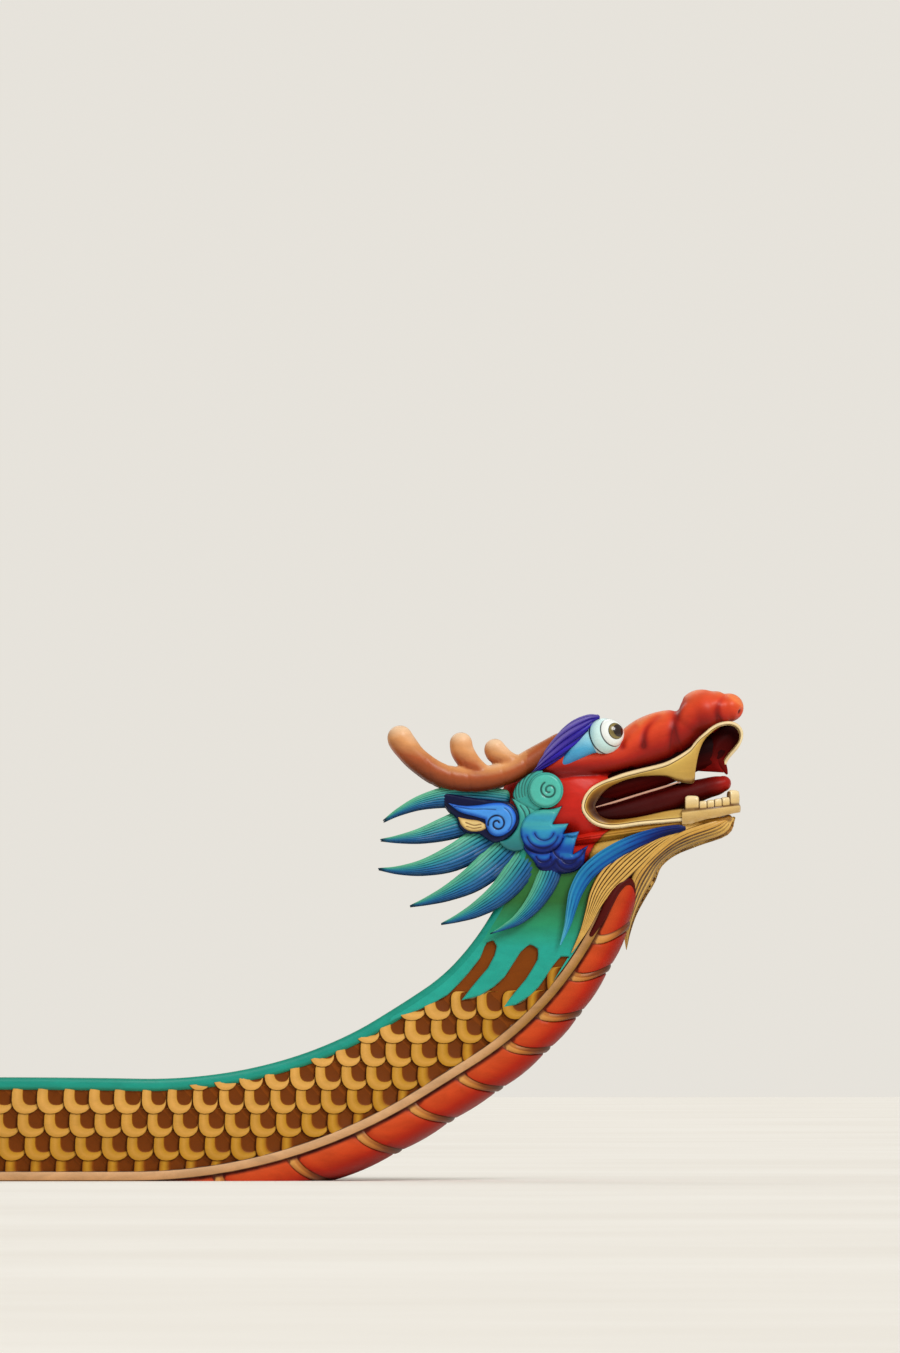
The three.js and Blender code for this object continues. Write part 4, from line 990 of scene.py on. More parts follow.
# Columns: outer edge x and z, inner edge x and z, y, and how dark the inner slope is
# painted, as shade going into the mouth.
LIP = np.array([
    [445, -112, 445, -66, 90, 0.5], [380, -118, 380, -76, 95, 0.5], [289, -126, 289, -96, 103, 0.55],
    [220, -136, 220, -106, 109, 0.7], [174, -138, 178, -106, 113, 0.85], [133, -129, 152, -98, 118, 0.95],
    [104, -111, 137, -87, 122, 1.0], [84, -88, 129, -74, 124, 1.0], [75, -66, 124, -60, 124, 1.0],
    [77, -43, 127, -48, 123, 1.0], [88, -17, 136, -33, 121, 0.95], [109, 7, 152, -11, 118, 0.85],
    [142, 26, 179, 11, 113, 0.7], [179, 41, 205, 24, 109, 0.6], [225, 58, 235, 36, 105, 0.5],
    [280, 73, 285, 48, 99, 0.45], [335, 86, 335, 52, 95, 0.42], [380, 99, 385, 50, 92, 0.42],
    [426, 122, 420, 36, 91, 0.45], [465, 148, 452, 30, 90, 0.48], [480, 166, 481, 32, 90, 0.5],
    [490, 178, 487, 70, 90, 0.5], [498, 187, 494, 110, 91, 0.5], [508, 196, 503, 145, 91, 0.5],
    [520, 206, 518, 178, 90, 0.5], [540, 223, 543, 205, 88, 0.4], [565, 238, 568, 224, 83, 0.3],
    [590, 245, 592, 233, 75, 0.2], [615, 246, 613, 234, 64, 0.15], [637, 238, 630, 228, 52, 0.15],
    [653, 221, 641, 214, 44, 0.15], [658, 200, 646, 194, 40, 0.15], [653, 176, 641, 173, 37, 0.15],
    [640, 152, 629, 157, 32, 0.15], [621, 130, 611, 135, 23, 0.15], [605, 110, 596, 112, 14, 0.15],
    [597, 90, 590, 90, 7, 0.15], [595, 62, 589, 64, 1, 0.15],
])
# Columns: x, y, z from HEAD, half width, half depth.
SKULL = [
    [-158, 0, -10, 50, 60], [-130, 0, -24, 96, 125], [-60, 0, -36, 126, 178], [10, 0, -44, 136, 200],
    [70, 0, -72, 130, 176], [104, 0, -122, 114, 106], [128, 0, -150, 90, 52],
]
MUZZLE = [
    [-40, 0, 70, 112, 60], [20, 0, 96, 118, 74], [90, 0, 98, 112, 68], [144, 0, 106, 108, 66],
    [224, 0, 130, 100, 72], [314, 0, 172, 92, 92], [400, 0, 205, 88, 88], [470, 0, 232, 84, 62],
    [534, 0, 266, 80, 42],
]
# Columns: x, y, z from HEAD, and half sizes along x, y and z. The small ones are on both sides.
NOSE = [
    [510, 0, 280, 88, 102, 84], [558, 0, 296, 66, 86, 62], [608, 0, 298, 54, 72, 52],
]
NOSE_BULBS = [[568, 34, 278, 50, 48, 50], [474, 56, 262, 56, 44, 58]]
FACE_CREASES = [
    [(350, 268), (322, 240), (305, 208), (300, 160)],
    [(268, 228), (246, 208), (230, 186), (224, 158)],
]
NOSE_EDGE = [(436, 318), (420, 285), (411, 240), (409, 190), (418, 130)]
NOSTRIL_EDGE = [(588, 338), (572, 312), (566, 280), (574, 248)]
NOSTRIL, NOSTRIL_SIZE = (652, 38, 280), (12, 14, 12)
# The lines, as x and z, between which the face's paint runs from dark to light: painted shade
# below, painted highlight on top.
FACE_LOW = [(0, 56), (83, 50), (202, 50), (321, 80), (405, 110), (465, 158), (500, 205)]
FACE_HIGH = [(-60, 120), (60, 160), (229, 193), (303, 253), (375, 283), (417, 330), (520, 370),
             (600, 345), (662, 300)]
CHEEK_TOP = [(-60, 66), (0, 44), (50, 52), (110, 54), (202, 58), (260, 74)]

# %% Face
forms = Piece()
for rows in (SKULL, MUZZLE):
    forms.solid(limb(rows, 32, start=True, end=True)[0])
for x, y, z, *size in NOSE:
    forms.solid(ball((x, y, z), size))
for x, y, z, *size in NOSE_BULBS:
    for side in (1, -1):
        forms.solid(ball((x, side * y, z), size))
points, faces, normals = one_skin(forms, 5.4, 10)
x, y, z = points.T
flat = points[:, [0, 2]]
loop = LIP[:, :2]
hollow = np.clip(distance_to(flat, loop, True) / 10, 0, 1) * is_inside(flat, loop) * (x < 330)
points[:, 1] = y = y * (1 - 0.45 * hollow)
on_side = np.clip((np.abs(y) - 20) / 30, 0, 1)
creases = lines_cut(flat, FACE_CREASES, 13) * on_side
nose_edge = lines_cut(flat, [NOSE_EDGE], 15)
nostril = lines_cut(flat, [NOSTRIL_EDGE], 12)
from_nostril = (np.stack([x, np.abs(y), z], -1) - NOSTRIL) / NOSTRIL_SIZE
pit = np.exp(-(from_nostril**2).sum(-1))
fold = lines_cut(flat, [CHEEK_TOP], 8) * on_side
cut = 3.5 * creases + 6 * nose_edge + 4 * nostril + 12 * pit + 8 * fold
points = points - normals * cut[:, None]
low, high, top = (np.interp(x, *np.transpose(line)) for line in (FACE_LOW, FACE_HIGH, CHEEK_TOP))
rise = np.clip((z - low) / (high - low), 0, 1)
# the muzzle is painted lighter on top and darker below: a painted highlight on the nose and painted shade
# in the fold above the cheek
tone = np.interp(rise, [0, 0.25, 0.5, 0.85, 1.0], [0.68, 0.6, 0.48, 0.3, 0.08])
# creases, the nose's edge and the nostril are painted darker, as shade in the hollows
tone = tone + 0.22 * creases + 0.2 * nose_edge + 0.14 * nostril
cheek = np.clip((top - z) / 9, 0, 1) * np.clip((272 - x) / 20, 0, 1)
cheek_tone = np.clip(0.98 - (top - z) / 900, 0.84, 1)
tone = np.clip(tone, 0, 0.68) * (1 - cheek) + cheek_tone * cheek
# the nostril pit and a trace of the nose's edge are inked dark, as painted shade in the hollows
ink = np.clip(0.15 * nose_edge + pit, 0, 1)
in_mouth = hollow[[face[0] for face in faces]] > 0.3
piece = Piece()
piece.add(on_head(points), faces, tone, ink, in_mouth.astype(int))
piece.make("face", [FACE_PAINT, MOUTH_PAINT], ["head_core"], sharp=80)

# %% [markdown]
# ## Eyes and brows
# Each eye is a white ball in an aqua lid, set to look forward and a little up. The iris and
# the pupil are thin shells a hair above the ball, so their edges stay true circles. The brow
# sweeps back over it as twisted strands of violet.

# %% Eyes
EYE_WHITE = painted(
    "eyeball_paint", [(0.0, "#F6FBF8"), (0.6, "#D6EEEC"), (1.0, "#9CCFD6")], ink="#16282E",
    rough=0.16, coat=0.8, depth=0.05, bump=0.03, wear_and_highlight=0.0)
LID_PAINT = painted(
    "lid_paint", [(0.0, "#D2F4F2"), (0.6, "#A2DEE4"), (1.0, "#58A8C4")], ink="#16303A", rough=0.26,
    coat=0.5, depth=0.08, bump=0.08, wear_and_highlight=0.0)
IRIS_PAINT = painted(
    "iris_paint", [(0.0, "#3A2C10"), (0.5, "#6E5E2A"), (1.0, "#8A7A40")], ink="#1A1206", rough=0.14,
    coat=1.0, depth=0.12, bump=0.02, wear_and_highlight=0.0)
PUPIL_PAINT = painted(
    "pupil_paint", [(0.0, "#1E0E06"), (1.0, "#2C180C")], rough=0.1, coat=1.0, depth=0.05, bump=0.0,
    wear_and_highlight=0.0)
LID, LID_SIZE = np.array([158, 80, 192]), 66
EYEBALL, EYEBALL_SIZE = np.array([176, 100, 201]), 54
GAZE, PUPIL_SHIFT = np.array([0.50, 0.83, 0.22]), np.array([0.17, -0.06, 0.03])
IRIS_TURN, PUPIL_TURN = 0.58, 0.42
SOCKET = [
    [-10, 100, 76, 8, 7], [24, 104, 104, 17, 19], [60, 102, 136, 25, 30], [98, 92, 166, 32, 42],
    [140, 80, 186, 36, 50],
]

piece = Piece()
lid = ball(LID, LID_SIZE, EYEBALL - LID, np.linspace(0.04, math.pi - 0.04, 90), 48)
off = np.linalg.norm(lid - EYEBALL, axis=-1) - EYEBALL_SIZE
edge = np.exp(-((off - 19) / 1.8) ** 2)
# the lid is painted darker towards the back, as painted shade where it turns away
piece.solid(on_head(lid), np.clip((130 - lid[..., 0]) / 60, 0, 1), edge, 1)
white = ball(EYEBALL, EYEBALL_SIZE, GAZE, np.linspace(0.04, math.pi - 0.04, 80), 56)
off = np.linalg.norm(white - LID, axis=-1) - LID_SIZE
edge = np.exp(-((off - 1.2) / 1.4) ** 2)
# the eyeball is painted darker towards the back, as painted shade where it turns away
piece.solid(on_head(white), np.clip((150 - white[..., 0]) / 60, 0, 1), edge)
look = unit(GAZE)
turns = np.concatenate([np.linspace(0.02, IRIS_TURN, 10), [IRIS_TURN + 0.01]])
iris = ball(EYEBALL, EYEBALL_SIZE + 1.2, look, turns)
iris -= look * np.where(turns > IRIS_TURN, 5.0, 0.0)[:, None, None]
rim_ink = (turns[:, None] > IRIS_TURN - 0.04) * 1.0
piece.solid(on_head(iris), (turns / IRIS_TURN)[:, None], rim_ink, 2)
ahead = unit(look + PUPIL_SHIFT)
turns = np.concatenate([np.linspace(0.02, PUPIL_TURN, 8), [PUPIL_TURN + 0.01]])
pupil = ball(EYEBALL, EYEBALL_SIZE + 2.2, ahead, turns)
pupil -= ahead * np.where(turns > PUPIL_TURN, 5.0, 0.0)[:, None, None]
piece.solid(on_head(pupil), 0.0, 0.0, 3)
piece.make_pair("eyeball", [EYE_WHITE, LID_PAINT, IRIS_PAINT, PUPIL_PAINT], ["eye"])
socket = Piece()
grid, share, angle, ink = limb(SOCKET, 28, start=True)
# the socket is paler towards the eye, and painted lighter on its upper side as light from above
socket.solid(on_head(grid), np.clip(1.1 - share - 0.2 * np.sin(angle), 0, 1), ink)
socket.make_pair("eye_socket", [SOCKET_PAINT])

# %% [markdown]
# The brow's strands are grooves that wind along one thick limb, as in a rope. Separate strands
# wound round each other would look the same and cost many more faces.

# %% Brows
BROW_PAINT = painted(
    "brow_paint", [(0.0, "#7468AE"), (0.3, "#463698"), (0.55, "#241488"), (0.75, "#3222AC"),
    (1.0, "#140A5C")], ink="#0C0640", coat=0.08, worn_and_highlit="#A098D8", shine=0.15)
BROW_STRANDS, BROW_TWIST = 9, 2.6
BROW = [
    [-96, 104, 62, 5, 6], [-68, 108, 88, 15, 17], [-30, 111, 126, 24, 30], [20, 108, 178, 29, 39],
    [66, 98, 220, 27, 37], [104, 88, 250, 20, 24], [134, 80, 262, 9, 10],
]

piece = Piece()
grid, share, angle, ink = limb(
    BROW, 108, 10, True, True, grooves(BROW_STRANDS, 0.26, BROW_TWIST, 0.3))
strand = strands(share, angle, BROW_STRANDS, BROW_TWIST)
# the brow is painted lighter on its upper side and on the crest of each strand: painted light and
# highlights
tone = np.clip(0.66 - 0.5 * np.sin(angle + 0.4) - 0.4 * (strand - 0.5), 0, 1)
piece.solid(on_head(grid), tone, ink)
piece.make_pair("brow_carving", [BROW_PAINT], ["brow"])

# %% [markdown]
# ## Antlers
# An antler is a long horn with two short tines, painted lighter where it faces up and a darker
# copper below, as painted light and shade, and peach towards the rounded tips. The tines grow
# out of the horn, so the three limbs become one skin, and a few shallow rings mark where the
# real horn's velvet would pucker.

# %% Antlers
ANTLER_PAINT = painted(
    "antler_paint", [(0.0, "#F0C8A0"), (0.3, "#D8965E"), (0.6, "#A85228"), (1.0, "#6A2A0A")],
    ink="#7E4E0C", rough=0.38, worn_and_highlit="#F0D0A8", wear_and_highlight=0.3, shine=0.2)
ANTLER = [
    [-4, 66, 176, 30, 30], [-90, 84, 118, 38, 39], [-176, 106, 68, 42, 43], [-298, 126, 36, 42, 44],
    [-420, 146, 50, 41, 43], [-510, 158, 106, 41, 42], [-558, 162, 160, 44, 45], [-576, 164, 186, 45, 46],
]
PUCKERS = (-470, -395, -335, -205, -120)
TINES = [
    [[-262, 120, 44, 30, 32], [-318, 126, 92, 35, 37], [-350, 128, 138, 39, 41], [-357, 130, 168, 39, 41]],
    [[-128, 98, 84, 26, 28], [-190, 104, 106, 33, 35], [-226, 107, 134, 37, 39], [-236, 109, 148, 36, 38]],
]

forms = Piece()
for rows in (ANTLER, *TINES):
    forms.solid(limb(rows, 28, start=True, end=True)[0])
points, faces, normals = one_skin(forms, 5.6, 4)
x, y, z = points.T
tips = [np.linalg.norm(points - np.array(rows[-1][:3]), axis=1) for rows in (ANTLER, *TINES)]
tip = np.exp(-(np.min(tips, axis=0) / 85) ** 2)
# lighter where the surface faces up and darker where it faces down: painted light and shade
tone = np.clip(0.74 - 0.38 * normals[:, 2] - 0.6 * tip + 0.1 * (x > -120), 0, 1)
puckers = np.zeros(len(points))
for at in PUCKERS:
    puckers += np.exp(-((x - at + 0.25 * (z - 60)) / 5) ** 2) * (z < 110)
points = points - normals * (1.6 * puckers)[:, None]
outer = np.clip(np.abs(normals[:, 2]) - 0.86, 0, 1) * 3
piece = Piece()
piece.add(on_head(points), faces, tone, np.clip(1.4 * outer, 0, 0.56))
piece.make_pair("antler_horn", [ANTLER_PAINT], ["antler"], sharp=80)

# %% [markdown]
# ## The mouth
# A gold lip runs round the open mouth like the rim of a bowl and slopes inwards to it. It
# climbs over the raised snout and ends at the beak. Its rows give the outer and the inner
# edge, so that its width can follow the carving. Inside are the dark palate, the tongue and
# a bar of lower teeth.

# %% Lip
LIP_PAINT = painted(
    "lip_paint", [(0.0, "#F2DAA8"), (0.35, "#D8B45C"), (0.65, "#9C6A20"), (1.0, "#3A1206")],
    ink="#5A2A0C", rough=0.34, worn_and_highlit="#F8E8C0", shine=0.18)
# Columns: share of the way from the outer edge to the inner, height outward, tone, ink. Where
# the lip is wide its bead keeps its size, so the first rows are in millimetres. The bead's
# crest has the palest tone, a painted highlight.
LIP_BEAD = np.array([
    [0, -30, 0.3, 0], [-2, -10, 0.1, 0.3], [0, -3, 0.0, 0], [3, 2.5, 0.0, 0], [7, 3.5, 0.0, 0],
    [11, 1, 0.05, 0.2], [13, -2.5, 0.2, 1.0], [15.5, -1.5, 0.3, 0.3],
])
LIP_SLOPE = np.array([
    [0.12, -2, 0.5, 0], [0.4, -6, 0.9, 0], [0.8, -11, 1.0, 0], [1.0, -17, 1.0, 0.7],
    [1.04, -34, 1.0, 0.4],
])

rows = smooth_rows(LIP, 5)
outer, inner, y, dark = rows[:, :2], rows[:, 2:4], rows[:, 4], rows[:, 5]
width = np.linalg.norm(inner - outer, axis=1)
ahead = unit(inner - outer)
size = np.clip(width / 22, 0.8, 1)[:, None]
bead = size * LIP_BEAD[:, 0]
left = np.maximum(width[:, None] - bead[:, -1:], 1.0)
off = np.hstack([bead, bead[:, -1:] + left * LIP_SLOPE[:, 0]])
profile = np.vstack([LIP_BEAD, LIP_SLOPE])
lift = size * profile[:, 1]
flat = outer[:, None] + ahead[:, None] * off[..., None]
height = np.maximum(y[:, None] + lift, 0)
grid = np.stack([flat[..., 0], height, flat[..., 1]], -1)
# the inner slope is painted darker towards the mouth, as painted shade
slope_shade = 0.36 + (dark[:, None] - 0.36) * LIP_SLOPE[:, 2]
tone = np.hstack([np.broadcast_to(LIP_BEAD[:, 2], (len(rows), len(LIP_BEAD))), slope_shade])
piece = Piece()
add_both(piece, grid, tone, profile[:, 3][None])
piece.make("lip_rim", [LIP_PAINT], ["lip_band"], sharp=60)

# %% [markdown]
# The mouth is hollow, so what is inside has to be real too: a ribbed palate that ends in a
# fang, side walls behind the lip, and a tongue with a groove down its middle. All are limbs
# but the walls, which are reliefs cut to the lip's own inner edge.

# %% Palate and tongue
TONGUE_PAINT = painted(
    "tongue_paint", [(0.0, "#A81A12"), (0.4, "#560806"), (1.0, "#180101")], ink="#200204",
    rough=0.4, coat=0.0, wear_and_highlight=0.0, shine=0.12)
TONGUE_HIGHLIGHT_PAINT = painted(
    "tongue_highlight_paint", [(0.0, "#D8A890"), (1.0, "#8A4A3A")], ink="#400A08", rough=0.3, coat=0.4,
    wear_and_highlight=0.0)
PALATE = [
    [84, 0, -8, 62, 30], [144, 0, 6, 72, 54], [288, 0, 46, 66, 56], [400, 0, 86, 56, 58],
    [480, 0, 124, 46, 58], [530, 0, 140, 42, 62], [562, 0, 152, 30, 50], [588, 0, 166, 16, 30],
    [600, 0, 174, 6, 16],
]
FANG = [[556, 0, 122, 26, 26], [578, 0, 96, 18, 20], [592, 0, 76, 10, 12], [601, 0, 60, 3, 4]]
TONGUE = [
    [96, 0, -84, 66, 28], [144, 0, -90, 80, 42], [288, 0, -62, 76, 56], [432, 0, -20, 68, 50],
    [522, 0, 8, 56, 40], [566, 0, 19, 51, 36], [586, 0, 25, 44, 30],
]
# the pale bead along each side of the tongue is a painted highlight on its edge
TONGUE_HIGHLIGHT_BEAD = [
    [128, 86, -62, 2, 2], [200, 82, -42, 4, 4], [290, 76, -14, 4, 4], [370, 71, 10, 4, 4],
    [432, 66, 30, 2, 2],
]

palate = Piece()
grid, share, angle, ink = limb(PALATE, 36, 8, True, True, grooves(12, 0.05))
# the palate is painted darker towards its roof, as painted shade inside the mouth
height = (grid[..., 2] - np.interp(grid[..., 0], [86, 640], [-40, 90])) / 130
palate.solid(on_head(grid), np.clip(0.4 + height, 0, 1), ink * 0.4)
grid, share, angle, ink = limb(FANG, 20, 5, False, True)
palate.solid(on_head(grid), 0.1 + 0.3 * (1 - share), ink)
inner = LIP[21:, 2:4]


def wall(flat, inward):
    height = 5 + 36 * np.clip(inward / 55, 0, 1) ** 0.8 * np.clip((650 - flat[:, 0]) / 90, 0.15, 1)
    # the walls are painted darker higher up, as painted shade inside the mouth
    return height, np.clip((flat[:, 1] - 60) / 170, 0.05, 1), 0.0


for side in (1, -1):
    relief(palate, inner, wall, 0.0, step=8.0, sharp=30, place=lambda p: on_head(p * [1, side, 1]))
palate.make("palate_skin", [MOUTH_PAINT], ["palate"], sharp=70)
tongue = Piece()


def tongue_groove(share, angle):
    middle = np.exp(-((angle - math.pi / 2) / 0.3) ** 2)
    return 1 - 0.16 * middle, 0.5 * middle


grid, share, angle, ink = limb(TONGUE, 40, 8, True, True, tongue_groove)
# the tongue is painted darker towards its root, as painted shade deep in the mouth
tongue.solid(on_head(grid), np.clip(1.1 - 1.1 * share, 0, 1), ink)
# a pale bead along each side is a painted highlight on the tongue's edge
grid, share, angle, ink = limb(TONGUE_HIGHLIGHT_BEAD, 12, 6)
add_both(tongue, grid, 0.2, ink, 1)
tongue.make("tongue_skin", [TONGUE_PAINT, TONGUE_HIGHLIGHT_PAINT], ["tongue"], sharp=70)

# %% [markdown]
# ## Teeth and jaw
# A gold bar runs round the front of the lower jaw and carries the teeth: a broad one at each
# corner and at the tip, and small ones between. Each tooth is a block along the same curved
# path as the bar, drawn in at its ends so that a dark joint shows between two teeth.

# %% Teeth
TOOTH_PAINT = painted(
    "tooth_paint", [(0.0, "#F0D8A4"), (0.4, "#D8B570"), (1.0, "#A0752E")], ink="#6A4414",
    rough=0.26, coat=0.4, worn_and_highlit="#FFF4D8", wear_and_highlight=0.2)
# Columns: x, y and the bottom and top of the bar.
GUM = np.array([
    [438, 86, -124, -72], [470, 85, -121, -68], [520, 80, -106, -64], [560, 70, -98, -59],
    [590, 56, -90, -55], [616, 36, -83, -52], [632, 14, -80, -50], [636, 0, -79, -50],
])
# Columns: where a tooth starts and ends, as x on the path, and its height above the bar.
TEETH = [
    (448, 499, 44), (499.5, 526, 25), (526.5, 552, 26), (552.5, 578, 27), (578.5, 605, 29),
    (605.5, 636.5, 48),
]
# The section of a bar or a tooth, as shares of its half thickness and half height.
BLOCK = [
    (-1, -1), (-1.12, -0.4), (-1.12, 0.4), (-0.9, 0.92), (-0.3, 1.02), (0.3, 1.02), (0.9, 0.92),
    (1.12, 0.4), (1.12, -0.4), (1, -1),
]


def bar_grid(path, bottom, top, thick):
    """A bar along a path in x and y, with a rounded block as its section."""
    run = unit(np.gradient(path, axis=0))
    beside = np.stack([-run[:, 1], run[:, 0]], -1)
    block = np.array(BLOCK)
    across = path[:, None] + beside[:, None] * (np.reshape(thick, (-1, 1)) * block[:, 0])[..., None]
    height = (bottom + top)[:, None] / 2 + (top - bottom)[:, None] / 2 * block[:, 1]
    return np.concatenate([across, height[..., None]], -1)


half = smooth_rows(GUM, 6)
whole = np.vstack([half, half[-2::-1] * [1, -1, 1, 1]])
piece = Piece()
grid = bar_grid(whole[:, :2], whole[:, 2], whole[:, 3], 13)
height = (grid[..., 2] - whole[:, 2:3]) / (whole[:, 3:4] - whole[:, 2:3])
top_ink = np.exp(-((height - 0.96) / 0.05) ** 2)
piece.solid(on_head(grid), np.clip(0.85 - 0.5 * height, 0, 1), top_ink)
reach = np.cumsum(np.concatenate([[0], np.linalg.norm(np.diff(half[:, :2], axis=0), axis=1)]))
share = np.linspace(0, 1, 13)
drawn_in = 1 - 0.35 * np.abs(2 * share - 1) ** 10
for start, end, tall in TEETH:
    first, last = (np.interp(x, half[:, 0], reach) for x in (start, end))
    at = first + (last - first) * share
    path = np.stack([np.interp(at, reach, half[:, k]) for k in (0, 1)], -1)
    foot = np.interp(at, reach, half[:, 3]) - 4
    lean = 1 if tall < 40 else 1 + 0.12 * (1 - share)
    top = foot + 4 + tall * (1 - 0.16 * np.abs(2 * share - 1) ** 5) * lean
    grid = bar_grid(path, foot, top, 11 * drawn_in)
    height = (grid[..., 2] - foot[:, None]) / tall
    ink = np.maximum(np.clip(1.15 - height * 8, 0, 1), np.abs(2 * share - 1)[:, None] ** 14)
    add_both(piece, grid, np.clip(0.6 - 0.6 * height, 0, 1), ink)
piece.make("jaw_teeth", [TOOTH_PAINT], ["lower_teeth"], sharp=60)

# %% [markdown]
# The lower jaw is a shallow limb under the lip. The cheek's red runs down over its back, so
# the paint changes along a slanting line, and not where one piece ends.

# %% Lower jaw
JAW_PAINT = painted(
    "jaw_paint", [(0.0, "#E8C470"), (0.4, "#C08E34"), (0.6, "#8A5818"), (0.72, "#5A1A08"),
    (0.8, "#B8180E"), (1.0, "#D02614")], ink="#4A2006", rough=0.38, coat=0.08, wear_and_highlight=0.0, shine=0.2)
HAIR_PAINT = painted(
    "hair_paint", [(0.0, "#E2BA64"), (0.4, "#BE882E"), (0.75, "#905A18"), (1.0, "#60340C")],
    ink="#3A1804", coat=0.15, worn_and_highlit="#F4DEA0")
JAW = [
    [60, 0, -178, 108, 28], [136, 0, -166, 110, 34], [288, 0, -144, 99, 30], [440, 0, -122, 84, 26],
    [550, 0, -110, 72, 20], [606, 0, -102, 50, 15],
]


def jaw_tone(grid, gold):
    """The cheek's red runs down over the back of the jaw, as far as a slanting line."""
    edge = np.interp(grid[..., 2], [-240, -200, -160, -141], [104, 124, 156, 184])
    return 0.92 + (gold - 0.92) * np.clip((grid[..., 0] - edge + 7) / 14, 0, 1)


piece = Piece()
grid, share, angle, ink = limb(JAW, 56, 16, True, True, grooves(18, 0.04))
piece.solid(on_head(grid), jaw_tone(grid, 0.4 + 0.15 * share), ink * 0.5)
piece.make("jaw", [JAW_PAINT], ["lower_jaw"], sharp=70)

# %% [markdown]
# ## Curl, clouds and ear
# Behind the cheek lie flat carvings, one over the other: a teal curl at the temple, clouds
# with pointed fronts that bite into the red cheek, and an ear that ends in a blue swirl. They
# are reliefs. Spirals and arcs are cut as grooves and inked, and every lobe of a cloud is
# domed so that it catches the light on its own; its lower rim and a band beside each arc are
# also painted darker, as painted shade.

# %% Temple curl
CURL_PAINT = painted(
    "curl_paint", [(0.0, "#52C0AE"), (0.5, "#34A094"), (1.0, "#1C6E74")], ink="#12504A", coat=0.3,
    worn_and_highlit="#9ADCCC")
CURL_CENTRE, CURL_SIZE = (-53, -2), 65
CURL_SPIRAL = arc(-40, -2, 32, 120, 640, 0.78)
BACK_CURL = [
    (-64, 70), (-92, 66), (-128, 46), (-158, 16), (-170, -22), (-160, -40), (-120, -64),
    (-90, -80), (-50, -60), (-40, 20),
]
BACK_ARCS = [arc(-53, -2, r, 118, 196) for r in (76, 86, 97, 108)]
WEB = [
    (-176, -30), (-100, -50), (-70, -72), (-84, -96), (-112, -130), (-124, -176), (-130, -214),
    (-150, -221), (-180, -219), (-206, -205), (-222, -186), (-190, -176), (-166, -152),
    (-150, -118), (-152, -79),
]
WEB_ARCS = [[(-128, -52), (-112, -76), (-108, -104)], [(-144, -58), (-128, -84), (-122, -116)]]

piece = Piece()


def web(flat, inward):
    cut = lines_cut(flat, WEB_ARCS, 3)
    tone = np.clip((-60 - flat[:, 1]) / 150, 0, 1)
    return 138 + 10 * rim(inward, 10) - 3 * cut, 0.3 + 0.7 * tone, np.maximum(cut, inward < 1.5)


relief(piece, WEB, web, 126, lines=WEB_ARCS)


def back_curl(flat, inward):
    cut = lines_cut(flat, BACK_ARCS, 3)
    return 138 + 14 * rim(inward, 12) - 3 * cut, 0.55 - 0.3 * cut, np.maximum(cut * 0.8, inward < 1.5)


relief(piece, BACK_CURL, back_curl, 112, lines=BACK_ARCS)


def disc(flat, inward):
    cut = lines_cut(flat, [CURL_SPIRAL], 4)
    border = np.exp(-((inward - 7) / 2.5) ** 2)
    height = 148 + 18 * rim(inward, 16) - 5 * cut - 2.5 * border
    ink = np.maximum.reduce([cut, inward < 1.5, 0.5 * border])
    return height, np.clip(0.1 + 0.5 * border, 0, 1), ink


ring = arc(*CURL_CENTRE, CURL_SIZE, 0, 345, count=24)
relief(piece, ring, disc, 114, step=4.5, lines=[CURL_SPIRAL])
piece.make_pair("curl_carving", [CURL_PAINT], ["temple_curl"])

# %% [markdown]
# The cheek cloud has flame-like points in front and three lobes behind them. Each lobe is a
# flat dome in the relief's height, and a later dome covers an earlier one.

# %% Cheek clouds
CLOUD_PAINT = painted(
    "cloud_paint", [(0.0, "#48ACA2"), (0.3, "#2E90B8"), (0.6, "#1A5CB0"), (0.8, "#0E3494"),
    (1.0, "#06145C")], ink="#060C40", worn_and_highlit="#9AC8E8", wear_and_highlight=0.15, shine=0.15)
CLOUD = [
    (9, -57), (-26, -123), (32, -120), (12, -158), (70, -148), (58, -180), (46, -231), (74, -214),
    (102, -198), (92, -222), (88, -246), (84, -268), (60, -290), (22, -302), (-28, -301),
    (-62, -295), (-86, -277), (-96, -258), (-104, -247), (-126, -222), (-140, -186),
    (-146, -150), (-138, -116), (-114, -88), (-71, -70), (-30, -68),
]
# Columns: middle x and z, radius, height, crown.
CLOUD_LOBES = [
    (-62, -236, 60, 150, 8), (28, -238, 66, 152, 8), (-64, -148, 80, 158, 9),
]
CLOUD_ARCS = [arc(x, z, r, 198, 342) for x, z, r in (
    (-66, -150, 80), (-64, -152, 58), (-58, -146, 36), (-60, -238, 46), (-60, -232, 28),
    (30, -244, 46), (32, -238, 28), (30, -196, 60))]

piece = Piece()


